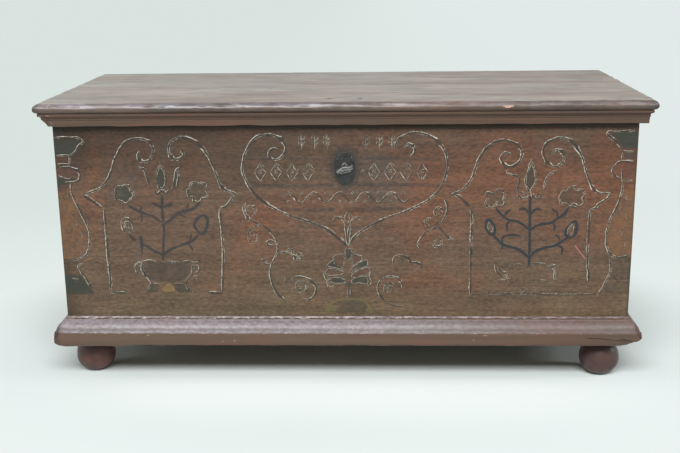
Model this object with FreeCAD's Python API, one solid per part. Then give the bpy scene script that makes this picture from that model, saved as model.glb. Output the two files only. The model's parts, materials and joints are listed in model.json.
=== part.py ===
# Lift-lid blanket chest on bun feet: a dovetailed board case, mitred base and lid mouldings,
# wrought strap hinges, an inside lock with a swinging keyhole cover, and an open till at the left end.
# Millimetres. Origin on the floor under the middle of the overall box, +X right, +Y back, +Z up.
import FreeCAD
import Part
import math
import os
from FreeCAD import Vector

# Case
case_width = 1303.0
case_depth = 560.5
case_wall = 22.0
lower_board_height = 176.0
upper_board_height = 346.0
tail_pitch = 58.0
tail_taper = 1.0 / 6.0
tail_share = 0.7

# Bottom and feet
bottom_thickness = 22.0
front_plank_width = 205.0
middle_plank_width = 170.0
foot_height = 88.0
foot_radius = 46.3
foot_widest_height = 37.0
foot_flat_radius = 20.0
foot_neck_radius = 26.0
foot_neck_height = 82.0
tenon_radius = 14.0
tenon_gap = 0.1
foot_inset_x = 50.0
foot_inset_y = 43.0
foot_shifts = {"front_left": (-6.5, 18.0), "front_right": (-2.0, 0.0)}

# Base moulding, measured outwards from the case face and up from its own lower edge
base_projection = 28.5
base_fascia_height = 34.0
base_height = 64.6
base_bottom_round = 8.0
base_step = 4.0
base_swell = 5.3
base_neck = 5.0
base_quirk = 4.0
base_lip = 3.5
base_bead = 5.0
base_bead_rise = 1.6
base_top_set_back = 1.0

# Lid
lid_thickness = 24.0
lid_overhang = 33.5
lid_rear_plank_width = 270.0
lid_under_projection = 25.0
nose_flat = 9.0
nose_drop = 10.0
nose_swell = 3.1
nose_undercut = 8.5
nose_undercut_in = 2.0
nose_tip_swell = 0.6
lid_moulding_height = 28.5
lid_moulding_gap = 2.0
lid_moulding_bottom = 17.0
lid_moulding_top = 24.0
lid_fascia_drop = 14.0
lid_fascia_slant = 1.0
lid_cove_drop = 11.0
lid_cove_set_back = 1.5
lid_cove_hollow = 0.8
lid_bead = 5.0
lid_bead_rise = 1.0

# Strap hinges
hinge_offset = 430.0
hinge_iron = 3.0
hinge_pin_radius = 2.5
hinge_pin_gap = 0.05
knuckle_gap = 0.5
strap_width = 34.0
strap_tip_width = 20.0
strap_length = 330.0
strap_root_nail = 50.0
strap_tip_nail = 33.0
back_strap_length = 120.0
back_root_nail = 30.0
back_tip_nail = 15.0
back_slot_room = 2.0
lid_knuckle_width = 14.0
pin_head_radius = 4.0
pin_head_length = 1.5

# Lock, inside the front board
lock_x = 3.5
lock_plate_margin = 13.0
lock_plate_thickness = 2.5
lock_cap_below_key = 8.0
lock_cap_wall = 1.5
lock_side_room = 0.5
lock_cavity_depth = 14.5
lock_top_gap = 1.0
bolt_thickness = 4.4
bolt_bar_height = 7.0
bolt_above_key = 10.5
bolt_travel = 14.0
bolt_overrun = 10.0
bolt_clear = 5.0
stud_radius = 2.3
stud_edge = 7.0
stud_inset = 20.0
running_gap = 0.3
spring_thickness = 1.0
spring_width = 8.0
spring_root = 3.0
spring_room = 4.0
key_post_radius = 2.0

# Staple on the lid that drops into the lock
staple_plate_width = 84.0
staple_plate_depth = 18.0
staple_plate_thickness = 2.0
staple_iron_x = 4.0
staple_leg = 2.3
staple_width = 10.0
staple_bottom = 2.5
staple_room = 1.0
staple_slot_gap = 1.5
staple_nail_inset = 7.0

# Keyhole, escutcheon and its cover
keyhole_drop = 112.0
keyhole_radius = 4.6
keyhole_slot_width = 5.2
keyhole_slot_length = 17.0
escutcheon_width = 48.0
escutcheon_above_key = 21.0
escutcheon_height = 78.0
escutcheon_taper_height = 23.0
escutcheon_tip_width = 20.0
escutcheon_thickness = 1.5
escutcheon_nail_up = 8.5
cover_width = 38.0
cover_length = 40.0
cover_top_margin = 1.0
cover_pivot_down = 8.0
cover_thickness = 1.5
cover_gap = 0.3
cover_lip = 4.0
rivet_radius = 2.0
rivet_head_radius = 3.6
rivet_head_height = 1.6

# Till
till_width = 140.0
till_board = 10.0
till_depth = 140.0
till_top_gap = 14.0
groove_depth = 5.0

# Nails
nail_half = 1.75
nail_head_radius = 4.2
nail_head_rise = 1.0
small_nail_half = 1.2
small_nail_head_radius = 2.9
small_nail_head_rise = 0.6
nail_bite = 15.0
nail_spacing = 210.0
nail_margin = 70.0
nail_stagger = 35.0
base_nail_up = 6.0

# Places worked out from the sizes above
half_width = case_width / 2.0
case_bottom = foot_height + bottom_thickness
case_seam = case_bottom + lower_board_height
case_top = case_seam + upper_board_height
lid_top = case_top + lid_thickness
knuckle_radius = hinge_pin_radius + hinge_iron
overall_depth = case_depth + lid_overhang + knuckle_gap + 2.0 * knuckle_radius
case_front = lid_overhang - overall_depth / 2.0
case_back = case_front + case_depth
inner_front = case_front + case_wall
inner_back = case_back - case_wall
inner_half = half_width - case_wall
hinge_y = case_back + knuckle_gap + knuckle_radius
lid_seam = case_back - lid_rear_plank_width
lock_plate_back = inner_front + lock_plate_thickness
cavity_back = lock_plate_back + lock_cavity_depth
cavity_middle = lock_plate_back + lock_cavity_depth / 2.0
lock_top = case_top - staple_plate_thickness - lock_top_gap
keyhole_height = case_top - keyhole_drop
middle_plank_front = case_front + front_plank_width
plank_edges = [case_front, middle_plank_front, middle_plank_front + middle_plank_width, case_back]
plank_middles = [(y0 + y1) / 2 for y0, y1 in zip(plank_edges, plank_edges[1:])]
big_nail = (nail_half, nail_head_radius, nail_head_rise)
small_nail = (small_nail_half, small_nail_head_radius, small_nail_head_rise)

pieces = {}


def block(x0, x1, y0, y1, z0, z1):
    """Rectangular block between two corners."""
    return Part.makeBox(x1 - x0, y1 - y0, z1 - z0, Vector(x0, y0, z0))


def rod(start, axis, radius, length):
    """Round bar from a point along an axis."""
    return Part.makeCylinder(radius, length, start, axis)


def face_from(place, outline):
    """Flat face inside a closed outline.

    Each entry of the outline is a point for a straight edge, or a pair (through, end) for an arc.
    An outline that doesn't come back to its first point is closed by a straight edge.
    place turns a pair of outline coordinates into a point in space.
    """
    edges = []
    here = outline[0]
    for step in outline[1:] + outline[:1]:
        through, end = step if isinstance(step[0], tuple) else (None, step)
        if through:
            edges.append(Part.Arc(place(*here), place(*through), place(*end)).toShape())
        elif end != here:
            edges.append(Part.LineSegment(place(*here), place(*end)).toShape())
        here = end
    return Part.Face(Part.Wire(edges))


def solid_from(place, outline, run):
    """Extrudes the face inside an outline along the vector run."""
    return face_from(place, outline).extrude(run)


def bowed(start, end, rise):
    """Arc step of an outline from start to end, whose middle lies rise to the right of the chord."""
    across = (end[1] - start[1], start[0] - end[0])
    share = rise / math.hypot(*across)
    middle = ((start[0] + end[0]) / 2 + share * across[0], (start[1] + end[1]) / 2 + share * across[1])
    return (middle, end)


def upright_rise(across, along):
    """Rise over its chord of an arc that stands upright at one end, from the chord's run across and along."""
    chord = math.hypot(across, along)
    radius = chord**2 / (2 * across)
    return radius - math.sqrt(radius**2 - chord**2 / 4)


def thirds(first, last):
    """First place, middle and last place of three."""
    return (first, (first + last) / 2, last)


def evenly(first, last, spacing):
    """Places from first to last, as near to the spacing as fits a whole number of steps."""
    steps = max(1, round(abs(last - first) / spacing))
    return [first + (last - first) * i / steps for i in range(steps + 1)]


def drive(group, heads, direction, length, through, size=big_nail):
    """Square wrought nails with low heads, driven through the named pieces."""
    half, head_radius, head_rise = size
    nails = []
    for head in heads:
        turn = FreeCAD.Rotation(Vector(0, 0, -1), direction)
        shank = Part.makeBox(2 * half, 2 * half, length, Vector(-half, -half, -length))
        cap = Part.makeCone(head_radius, head_radius / 3, head_rise)
        for shape in (shank, cap):
            shape.Placement = FreeCAD.Placement(head, turn).multiply(shape.Placement)
        for name in through:
            pieces[name] = pieces[name].cut(shank)
        nails.append(cap.fuse(shank).removeSplitter())
    pieces[group] = Part.makeCompound(nails)


def tails(bottom, top, outer_y, inner_y):
    """Dovetails of an end board: wide at the outer face, narrow at the shoulder."""
    count = max(1, round((top - bottom) / tail_pitch))
    pitch = (top - bottom) / count
    wide = tail_share * pitch / 2.0
    narrow = wide - abs(outer_y - inner_y) * tail_taper
    made = []
    for i in range(count):
        middle = bottom + (i + 0.5) * pitch
        outline = [
            (inner_y, middle - narrow),
            (outer_y, middle - wide),
            (outer_y, middle + wide),
            (inner_y, middle + narrow),
        ]
        made.append(outline)
    return made


def case_boards():
    """Front, back and end boards in two heights, joined by through dovetails at the corners."""
    for level, bottom, top in (("lower", case_bottom, case_seam), ("upper", case_seam, case_top)):
        front = block(-half_width, half_width, case_front, inner_front, bottom, top)
        back = block(-half_width, half_width, inner_back, case_back, bottom, top)
        for side, x0 in (("left", -half_width), ("right", inner_half)):
            run = Vector(case_wall, 0, 0)
            end = block(x0, x0 + case_wall, inner_front, inner_back, bottom, top)
            for outline in tails(bottom, top, case_front, inner_front):
                tail = solid_from(lambda y, z: Vector(x0, y, z), outline, run)
                end = end.fuse(tail)
                front = front.cut(tail)
            for outline in tails(bottom, top, case_back, inner_back):
                tail = solid_from(lambda y, z: Vector(x0, y, z), outline, run)
                end = end.fuse(tail)
                back = back.cut(tail)
            pieces[f"{side}_board_{level}"] = end.removeSplitter()
        pieces[f"front_board_{level}"] = front
        pieces[f"back_board_{level}"] = back


def bottom_and_feet():
    """Three planks under the case, and a turned bun foot tenoned up into them near each corner."""
    names = ["bottom_plank_front", "bottom_plank_middle", "bottom_plank_rear"]
    for name, y0, y1 in zip(names, plank_edges, plank_edges[1:]):
        pieces[name] = block(-half_width, half_width, y0, y1, foot_height, case_bottom)
    up = Vector(0, 0, 1)
    flat = (foot_flat_radius, 0.0)
    widest = (foot_radius, foot_widest_height)
    neck = (foot_neck_radius, foot_neck_height)
    lower_rise = upright_rise(foot_radius - foot_flat_radius, foot_widest_height)
    upper_rise = upright_rise(foot_radius - foot_neck_radius, foot_neck_height - foot_widest_height)
    outline = [
        (0.0, 0.0),
        flat,
        bowed(flat, widest, lower_rise),
        bowed(widest, neck, upper_rise),
        (foot_neck_radius, foot_height),
        (tenon_radius, foot_height),
        (tenon_radius, case_bottom),
        (0.0, case_bottom),
    ]
    for row, row_y, plank in (
        ("front", case_front + foot_inset_y, names[0]),
        ("rear", case_back - foot_inset_y, names[2]),
    ):
        for side, side_x in (("left", foot_inset_x - half_width), ("right", half_width - foot_inset_x)):
            shift_x, shift_y = foot_shifts.get(f"{row}_{side}", (0.0, 0.0))
            x = side_x + shift_x
            y = row_y + shift_y
            profile = face_from(lambda r, z: Vector(x + r, y, z), outline)
            pieces[f"foot_{row}_{side}"] = profile.revolve(Vector(x, y, 0), up, 360)
            socket = rod(Vector(x, y, foot_height), up, tenon_radius + tenon_gap, bottom_thickness)
            pieces[plank] = pieces[plank].cut(socket)


def mitre_region(side, reach, depth, z0, z1):
    """Room of one side's moulding, bounded by the 45 degree mitres through the front corners."""
    left_out = (-half_width - reach, case_front - reach)
    left_in = (-half_width + depth, case_front + depth)
    right_out = (half_width + reach, case_front - reach)
    right_in = (half_width - depth, case_front + depth)
    outlines = {
        "front": [left_out, right_out, right_in, left_in],
        "left": [left_out, left_in, (left_in[0], case_back), (left_out[0], case_back)],
        "right": [right_out, (right_out[0], case_back), (right_in[0], case_back), right_in],
    }
    return solid_from(lambda x, y: Vector(x, y, z0), outlines[side], Vector(0, 0, z1 - z0))


def moulding(side, outline, reach, z0, z1):
    """Moulding of the given (projection, height) outline along one side, mitred at the front."""
    if side == "front":
        run = Vector(case_width + 2 * reach, 0, 0)
        blank = solid_from(lambda p, z: Vector(-half_width - reach, case_front - p, z), outline, run)
    else:
        sign = -1 if side == "left" else 1
        run = Vector(0, case_depth + reach, 0)
        blank = solid_from(
            lambda p, z: Vector(sign * (half_width + p), case_front - reach, z), outline, run
        )
    return blank.common(mitre_region(side, reach, reach, z0, z1))


def base_mouldings():
    """Base moulding: rounded lower edge, flat fascia, small step, swelling slope and a bead on top."""
    low = foot_height
    top = foot_height + base_height
    quirk = top - base_bead - base_quirk
    round_start = (base_projection - base_bottom_round, low)
    round_end = (base_projection, low + base_bottom_round)
    slope_start = (base_projection - base_step, low + base_fascia_height + base_step)
    slope_end = (base_neck, quirk)
    bead_start = (base_lip, top - base_bead)
    bead_end = (base_lip - base_top_set_back, top)
    corner_rise = base_bottom_round * (1 - math.sqrt(0.5))
    outline = [
        (0.0, low),
        round_start,
        bowed(round_start, round_end, corner_rise),
        (base_projection, low + base_fascia_height),
        slope_start,
        bowed(slope_start, slope_end, base_swell),
        (base_lip, quirk),
        bead_start,
        bowed(bead_start, bead_end, base_bead_rise),
        (0.0, top),
    ]
    for side in ("front", "left", "right"):
        pieces[f"base_moulding_{side}"] = moulding(side, outline, base_projection, low, top)


def lid_boards():
    """Two lid planks with a rounded nose on the front and both ends, and mouldings hung under them."""
    undercut = (lid_overhang - nose_undercut_in, case_top + nose_undercut)
    tip = (lid_overhang, lid_top - nose_drop)
    flat = (lid_overhang - nose_flat, lid_top)
    nose = [
        (lid_under_projection, case_top),
        undercut,
        bowed(undercut, tip, nose_tip_swell),
        bowed(tip, flat, nose_swell),
    ]
    front_outline = [(-case_depth, case_top)] + nose + [(-case_depth, lid_top)]
    end_outline = [(-half_width, case_top)] + nose + [(-half_width, lid_top)]
    width = case_width + 2 * lid_overhang
    depth = case_depth + lid_overhang
    blank = solid_from(
        lambda p, z: Vector(-width / 2, case_front - p, z), front_outline, Vector(width, 0, 0)
    )
    ends = []
    for sign in (-1, 1):
        ends.append(
            solid_from(
                lambda p, z: Vector(sign * (half_width + p), case_front - lid_overhang, z),
                end_outline,
                Vector(0, depth, 0),
            )
        )
    blank = blank.common(ends[0].fuse(ends[1]).removeSplitter())
    reach = width
    front_room = block(-reach, reach, case_front - reach, lid_seam, case_top - 1, lid_top + 1)
    pieces["lid_plank_front"] = blank.common(front_room)
    pieces["lid_plank_rear"] = blank.cut(front_room)

    low = case_top - lid_moulding_height
    fascia_top = (lid_moulding_bottom + lid_fascia_slant, case_top - lid_fascia_drop)
    cove_start = (lid_moulding_bottom + 2 * lid_fascia_slant, case_top - lid_cove_drop)
    cove_end = (lid_moulding_top - lid_cove_set_back, case_top - lid_bead)
    bead_start = (lid_moulding_top, case_top - lid_bead)
    bead_end = (lid_moulding_top, case_top)
    outline = [
        (lid_moulding_gap, low),
        (lid_moulding_bottom, low),
        fascia_top,
        cove_start,
        bowed(cove_start, cove_end, -lid_cove_hollow),
        bead_start,
        bowed(bead_start, bead_end, lid_bead_rise),
        (lid_moulding_gap, case_top),
    ]
    for side in ("front", "left", "right"):
        pieces[f"lid_moulding_{side}"] = moulding(side, outline, lid_overhang, low, case_top)


def hinges():
    """Two wrought strap hinges: tapered strap under the lid, short strap on the back, and a pin."""
    lid_strap_nails = []
    back_strap_nails = []
    for side, x in (("left", -hinge_offset), ("right", hinge_offset)):
        wide = strap_width / 2
        tip = strap_tip_width / 2
        far = case_back - strap_length + tip
        near = case_back - knuckle_gap
        underside = case_top - hinge_iron
        outline = [
            (x - wide, near),
            (x - tip, far),
            ((x, far - tip), (x + tip, far)),
            (x + wide, near),
        ]
        strap = solid_from(lambda u, v: Vector(u, v, underside), outline, Vector(0, 0, hinge_iron))
        middle = lid_knuckle_width / 2
        along = Vector(1, 0, 0)
        axis_point = Vector(x, hinge_y, case_top)
        knuckle = rod(axis_point - along * middle, along, knuckle_radius, 2 * middle)
        neck = block(x - middle, x + middle, near - 1, hinge_y, underside, case_top)
        bore_radius = hinge_pin_radius + hinge_pin_gap
        bore = rod(axis_point - along * strap_width, along, bore_radius, 2 * strap_width)
        pieces[f"hinge_{side}_lid_strap"] = strap.fuse([neck, knuckle]).cut(bore).removeSplitter()

        plate_top = case_top - knuckle_gap
        plate_low = case_top - back_strap_length + tip
        outline = [
            (x - wide, plate_top),
            (x - tip, plate_low),
            ((x, plate_low - tip), (x + tip, plate_low)),
            (x + wide, plate_top),
        ]
        plate = solid_from(lambda u, v: Vector(u, case_back, v), outline, Vector(0, hinge_iron, 0))
        gap = middle + knuckle_gap
        ears = []
        for sign in (-1, 1):
            start = axis_point + along * (gap if sign > 0 else -wide)
            ears.append(rod(start, along, knuckle_radius, wide - gap))
        slot_low = case_top - knuckle_radius - back_slot_room
        slot = block(x - gap, x + gap, case_back - 1, hinge_y, slot_low, lid_top)
        pieces[f"hinge_{side}_back_strap"] = plate.cut(slot).fuse(ears).cut(bore)

        pin = rod(axis_point - along * wide, along, hinge_pin_radius, strap_width)
        head = rod(axis_point + along * wide, along, pin_head_radius, pin_head_length)
        pieces[f"hinge_{side}_pin"] = pin.fuse(head).removeSplitter()

        notch = block(
            x - wide - knuckle_gap,
            x + wide + knuckle_gap,
            inner_back - 1,
            case_back + 1,
            underside - knuckle_gap,
            case_top + 1,
        )
        pieces["back_board_upper"] = pieces["back_board_upper"].cut(notch)
        for reach in thirds(strap_root_nail, strap_length - strap_tip_nail):
            lid_strap_nails.append(Vector(x, case_back - reach, underside))
        for reach in thirds(back_root_nail, back_strap_length - back_tip_nail):
            back_strap_nails.append(Vector(x, case_back + hinge_iron, case_top - reach))
    straps = ["hinge_left_lid_strap", "hinge_right_lid_strap", "lid_plank_front", "lid_plank_rear"]
    drive("lid_strap_nails", lid_strap_nails, Vector(0, 0, 1), hinge_iron + nail_bite, straps)
    plates = ["hinge_left_back_strap", "hinge_right_back_strap", "back_board_upper"]
    drive("back_strap_nails", back_strap_nails, Vector(0, -1, 0), hinge_iron + nail_bite, plates)


def keyhole_cut(y0, y1):
    """Keyhole: a round top for the key's pipe and a slot below it for the bit."""
    eye = rod(Vector(lock_x, y0, keyhole_height), Vector(0, 1, 0), keyhole_radius, y1 - y0)
    half = keyhole_slot_width / 2
    slot = block(lock_x - half, lock_x + half, y0, y1, keyhole_height - keyhole_slot_length, keyhole_height)
    return eye.fuse(slot)


def lock():
    """Inside lock: plate with two studs, cap, sliding bolt, leaf spring and key post."""
    wall = lock_cap_wall
    bolt_width = bolt_travel + 2 * stud_edge
    cavity_half = bolt_travel + bolt_width + bolt_clear + spring_root + lock_side_room
    half_cap = cavity_half + wall
    half_plate = half_cap + lock_plate_margin
    cap_low = keyhole_height - keyhole_slot_length - lock_cap_below_key
    plate_low = cap_low - lock_plate_margin
    bar_top = lock_top - wall - spring_thickness - spring_room
    bar_low = bar_top - bolt_bar_height
    bolt_left = lock_x - bolt_travel - bolt_width - bolt_clear
    bolt_right = bolt_left + bolt_width
    bolt_low = keyhole_height + bolt_above_key
    stud_x = bolt_right - stud_edge
    backward = Vector(0, 1, 0)

    plate = block(
        lock_x - half_plate, lock_x + half_plate, inner_front, lock_plate_back, plate_low, lock_top
    )
    studs = []
    slots = []
    slot_half = stud_radius + running_gap
    for z in (bolt_low + stud_inset, bar_top - stud_inset):
        stud_start = Vector(stud_x, inner_front, z)
        studs.append(rod(stud_start, backward, stud_radius, cavity_back - inner_front))
        slot_left = stud_x - bolt_travel
        slot = block(slot_left, stud_x, lock_plate_back, cavity_back, z - slot_half, z + slot_half)
        ends = [
            rod(Vector(x, lock_plate_back, z), backward, slot_half, lock_cavity_depth)
            for x in (slot_left, stud_x)
        ]
        slots.append(slot.fuse(ends))
    plate = plate.fuse(studs).removeSplitter()
    pieces["lock_plate"] = plate.cut(keyhole_cut(inner_front - 1, lock_plate_back + 1))

    cap = block(
        lock_x - half_cap, lock_x + half_cap, lock_plate_back, cavity_back + wall, cap_low, lock_top
    )
    hollow = block(
        lock_x - cavity_half,
        lock_x + cavity_half,
        lock_plate_back - 1,
        cavity_back,
        cap_low + wall,
        lock_top - wall,
    )
    slot_x = staple_iron_x / 2 + staple_slot_gap
    slot_y = staple_width / 2 + staple_slot_gap
    mouth = block(
        lock_x - slot_x,
        lock_x + slot_x,
        cavity_middle - slot_y,
        cavity_middle + slot_y,
        lock_top - wall - 1,
        lock_top + 1,
    )
    post_length = cavity_back + wall - lock_plate_back
    post = rod(Vector(lock_x, lock_plate_back, keyhole_height), backward, key_post_radius, post_length)
    pieces["key_post"] = post
    pieces["lock_cap"] = cap.cut(hollow).cut(mouth).cut(post)

    y0 = cavity_middle - bolt_thickness / 2
    y1 = cavity_middle + bolt_thickness / 2
    body = block(bolt_left, bolt_right, y0, y1, bolt_low, bar_top)
    bar = block(bolt_right - 1, lock_x - bolt_travel + bolt_overrun, y0, y1, bar_low, bar_top)
    pieces["lock_bolt"] = body.fuse(bar).cut(slots[0]).cut(slots[1]).removeSplitter()

    y0 = cavity_middle - spring_width / 2
    y1 = cavity_middle + spring_width / 2
    left = lock_x - cavity_half
    spring_low = bar_top + running_gap
    leaf = block(left, bolt_right, y0, y1, spring_low, spring_low + spring_thickness)
    root = block(left, left + spring_root, y0, y1, spring_low, lock_top - wall)
    pieces["lock_spring"] = leaf.fuse(root).removeSplitter()

    corners = []
    for sign in (-1, 1):
        x = lock_x + sign * (half_cap + lock_plate_margin / 2)
        for z in (plate_low + lock_plate_margin / 2, lock_top - lock_plate_margin / 2):
            corners.append(Vector(x, lock_plate_back, z))
    names = ["lock_plate", "front_board_upper"]
    reach = lock_plate_thickness + nail_bite
    drive("lock_nails", corners, Vector(0, -1, 0), reach, names, small_nail)
    lid_staple(bar_low, bar_top)


def lid_staple(bar_low, bar_top):
    """Staple that hangs from the lid into the lock's mouth, with a window in the bolt's path."""
    plate_y = inner_front + lock_top_gap
    plate_low = case_top - staple_plate_thickness
    half_plate = staple_plate_width / 2
    staple_low = bar_low - staple_room - staple_bottom
    plate = block(
        lock_x - half_plate,
        lock_x + half_plate,
        plate_y,
        plate_y + staple_plate_depth,
        plate_low,
        case_top,
    )
    loop = block(
        lock_x - staple_iron_x / 2,
        lock_x + staple_iron_x / 2,
        cavity_middle - staple_width / 2,
        cavity_middle + staple_width / 2,
        staple_low,
        plate_low,
    )
    window_half = staple_width / 2 - staple_leg
    window = block(
        lock_x - staple_iron_x,
        lock_x + staple_iron_x,
        cavity_middle - window_half,
        cavity_middle + window_half,
        staple_low + staple_bottom,
        bar_top + staple_room,
    )
    pieces["lid_staple"] = plate.fuse(loop).cut(window).removeSplitter()
    y = plate_y + staple_plate_depth / 2
    offset = half_plate - staple_nail_inset
    heads = [Vector(lock_x + sign * offset, y, plate_low) for sign in (-1, 1)]
    reach = staple_plate_thickness + lid_thickness
    drive("lid_staple_nails", heads, Vector(0, 0, 1), reach, ["lid_staple", "lid_plank_front"])


def arched_plate(left, right, low, shoulder, tip, top, face, thickness):
    """Upright plate with a round arch on top, whose lower end tapers to the tip width."""
    middle = (left + right) / 2
    half = (right - left) / 2
    arch_start = (right, top - half)
    arch_end = (left, top - half)
    outline = [
        arch_end,
        (left, shoulder),
        (middle - tip / 2, low),
        (middle + tip / 2, low),
        (right, shoulder),
        arch_start,
        bowed(arch_start, arch_end, half),
    ]
    return solid_from(lambda x, z: Vector(x, face, z), outline, Vector(0, thickness, 0))


def escutcheon():
    """Iron keyhole plate on the front with a riveted cover that swings aside."""
    inward = Vector(0, 1, 0)
    half = escutcheon_width / 2
    top = keyhole_height + escutcheon_above_key
    low = top - escutcheon_height
    shoulder = low + escutcheon_taper_height
    face = case_front - escutcheon_thickness
    plate = arched_plate(
        lock_x - half, lock_x + half, low, shoulder, escutcheon_tip_width, top, face, escutcheon_thickness
    )
    pieces["escutcheon_plate"] = plate.cut(keyhole_cut(face - 1, case_front + 1))
    hole = keyhole_cut(case_front - 1, inner_front + 1)
    pieces["front_board_upper"] = pieces["front_board_upper"].cut(hole)

    half = cover_width / 2
    cover_back = face - cover_gap
    cover_face = cover_back - cover_thickness
    cover_top = top - cover_top_margin
    cover_low = cover_top - cover_length
    pivot = cover_top - cover_pivot_down
    cover = arched_plate(
        lock_x - half,
        lock_x + half,
        cover_low,
        cover_low + cover_thickness,
        cover_width,
        cover_top,
        cover_face,
        cover_thickness,
    )
    lip = block(
        lock_x - half,
        lock_x + half,
        cover_face - cover_lip,
        cover_back,
        cover_low,
        cover_low + cover_thickness,
    )
    bore_start = Vector(lock_x, cover_face - cover_lip, pivot)
    bore = rod(bore_start, inward, rivet_radius + cover_gap, 2 * cover_lip)
    pieces["keyhole_cover"] = cover.fuse(lip).cut(bore).removeSplitter()

    rivet_start = Vector(lock_x, cover_face - cover_gap, pivot)
    shank = rod(rivet_start, inward, rivet_radius, inner_front - rivet_start.y)
    cap = Part.makeCone(
        rivet_head_radius, rivet_head_radius / 2, rivet_head_height, rivet_start, Vector(0, -1, 0)
    )
    pieces["cover_rivet"] = shank.fuse(cap).removeSplitter()
    for name in ("escutcheon_plate", "front_board_upper"):
        pieces[name] = pieces[name].cut(shank)
    foot_nail = Vector(lock_x, face, low + escutcheon_nail_up)
    names = ["escutcheon_plate", "front_board_upper"]
    drive("escutcheon_nail", [foot_nail], inward, escutcheon_thickness + nail_bite, names, small_nail)


def till():
    """Open till at the left end: a side board and a bottom board let into grooves in the case."""
    x0 = -inner_half
    x1 = x0 + till_width
    top = case_top - till_top_gap
    low = top - till_depth
    y0 = inner_front - groove_depth
    y1 = inner_back + groove_depth
    side = block(x1, x1 + till_board, y0, y1, low - till_board, top)
    floor = block(x0 - groove_depth, x1 + groove_depth, y0, y1, low - till_board, low)
    pieces["till_side"] = side.cut(floor)
    pieces["till_bottom"] = floor
    for name in ("front_board_upper", "back_board_upper", "left_board_upper"):
        pieces[name] = pieces[name].cut(side.fuse(floor))


def nailing():
    """Nails that hold the bottom planks and the mouldings."""
    up = Vector(0, 0, 1)
    middle = case_wall / 2
    heads = []
    for x in evenly(2 * nail_margin - half_width, half_width - 2 * nail_margin, nail_spacing):
        heads.append(Vector(x, case_front + middle, foot_height))
        heads.append(Vector(x, case_back - middle, foot_height))
    for y in plank_middles:
        heads.append(Vector(-half_width + middle, y, foot_height))
        heads.append(Vector(half_width - middle, y, foot_height))
    boards = [f"{side}_board_lower" for side in ("front", "back", "left", "right")]
    planks = ["bottom_plank_front", "bottom_plank_middle", "bottom_plank_rear"]
    drive("bottom_nails", heads, up, bottom_thickness + 2 * nail_bite, boards + planks)

    # The side nails of the base stand between those of the bottom, so they don't meet
    front_xs = evenly(nail_margin - half_width, half_width - nail_margin, nail_spacing)
    side_ys = [y + nail_stagger for y in plank_middles]
    outer = base_projection
    height = case_bottom + base_nail_up
    groups = (
        ("front", [Vector(x, case_front - outer, height) for x in front_xs], Vector(0, 1, 0)),
        ("left", [Vector(-half_width - outer, y, height) for y in side_ys], Vector(1, 0, 0)),
        ("right", [Vector(half_width + outer, y, height) for y in side_ys], Vector(-1, 0, 0)),
    )
    for side, places, inward in groups:
        names = [f"base_moulding_{side}", f"{side}_board_lower"]
        drive(f"base_nails_{side}", places, inward, outer + nail_bite, names, small_nail)

    out = (lid_moulding_gap + lid_moulding_bottom) / 2
    low = case_top - lid_moulding_height
    heads = [Vector(x, case_front - out, low) for x in front_xs]
    for y in (case_front + nail_stagger, (case_front + lid_seam) / 2, (lid_seam + case_back) / 2):
        heads.append(Vector(-half_width - out, y, low))
        heads.append(Vector(half_width + out, y, low))
    names = [f"lid_moulding_{side}" for side in ("front", "left", "right")]
    names += ["lid_plank_front", "lid_plank_rear"]
    drive("lid_moulding_nails", heads, up, lid_moulding_height + nail_bite, names, small_nail)


def export():
    """Writes each piece to its own file."""
    os.makedirs("parts", exist_ok=True)
    for name, shape in pieces.items():
        solids = shape.Solids
        if not solids or not shape.isValid():
            raise ValueError(f"{name} isn't a valid solid")
        result = solids[0] if len(solids) == 1 else Part.makeCompound(solids)
        result.exportStep(f"parts/{name}.step")
        print(name, len(solids), round(shape.Volume / 1000.0, 1))


case_boards()
bottom_and_feet()
base_mouldings()
lid_boards()
hinges()
lock()
escutcheon()
till()
nailing()
export()
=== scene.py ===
"""Looks of a painted blanket chest: worn mouldings, lid, bun feet and the cut ornament of its front.

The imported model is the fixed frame. Every new piece is a numpy surface in the frame's own metres; the
ornament and the profiles are written in millimetres, as a joiner would draw them.
"""

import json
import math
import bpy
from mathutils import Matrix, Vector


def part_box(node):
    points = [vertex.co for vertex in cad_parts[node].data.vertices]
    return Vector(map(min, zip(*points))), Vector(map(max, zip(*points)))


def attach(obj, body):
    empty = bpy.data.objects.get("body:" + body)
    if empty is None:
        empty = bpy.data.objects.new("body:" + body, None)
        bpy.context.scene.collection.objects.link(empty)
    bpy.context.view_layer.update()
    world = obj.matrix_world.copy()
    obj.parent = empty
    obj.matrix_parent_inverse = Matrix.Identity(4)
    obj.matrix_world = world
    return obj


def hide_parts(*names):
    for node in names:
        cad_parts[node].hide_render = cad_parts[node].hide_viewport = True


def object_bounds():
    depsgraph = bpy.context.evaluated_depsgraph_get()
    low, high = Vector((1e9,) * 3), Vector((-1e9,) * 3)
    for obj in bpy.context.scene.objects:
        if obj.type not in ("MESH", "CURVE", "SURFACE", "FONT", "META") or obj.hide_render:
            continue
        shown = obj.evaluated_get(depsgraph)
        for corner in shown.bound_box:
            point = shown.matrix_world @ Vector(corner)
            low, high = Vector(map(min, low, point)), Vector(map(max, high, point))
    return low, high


bl_info = {
    "name": "Blanket chest looks",
    "version": (1, 0, 0),
    "blender": (4, 5, 0),
    "location": "3D View > Sidebar > Chest",
    "description": "Painted and cut finish of a lift-lid blanket chest",
    "category": "Object",
}

import bmesh
import bpy
import numpy as np
from bpy.props import FloatProperty, FloatVectorProperty, IntProperty, PointerProperty
from mathutils import Matrix

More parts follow.
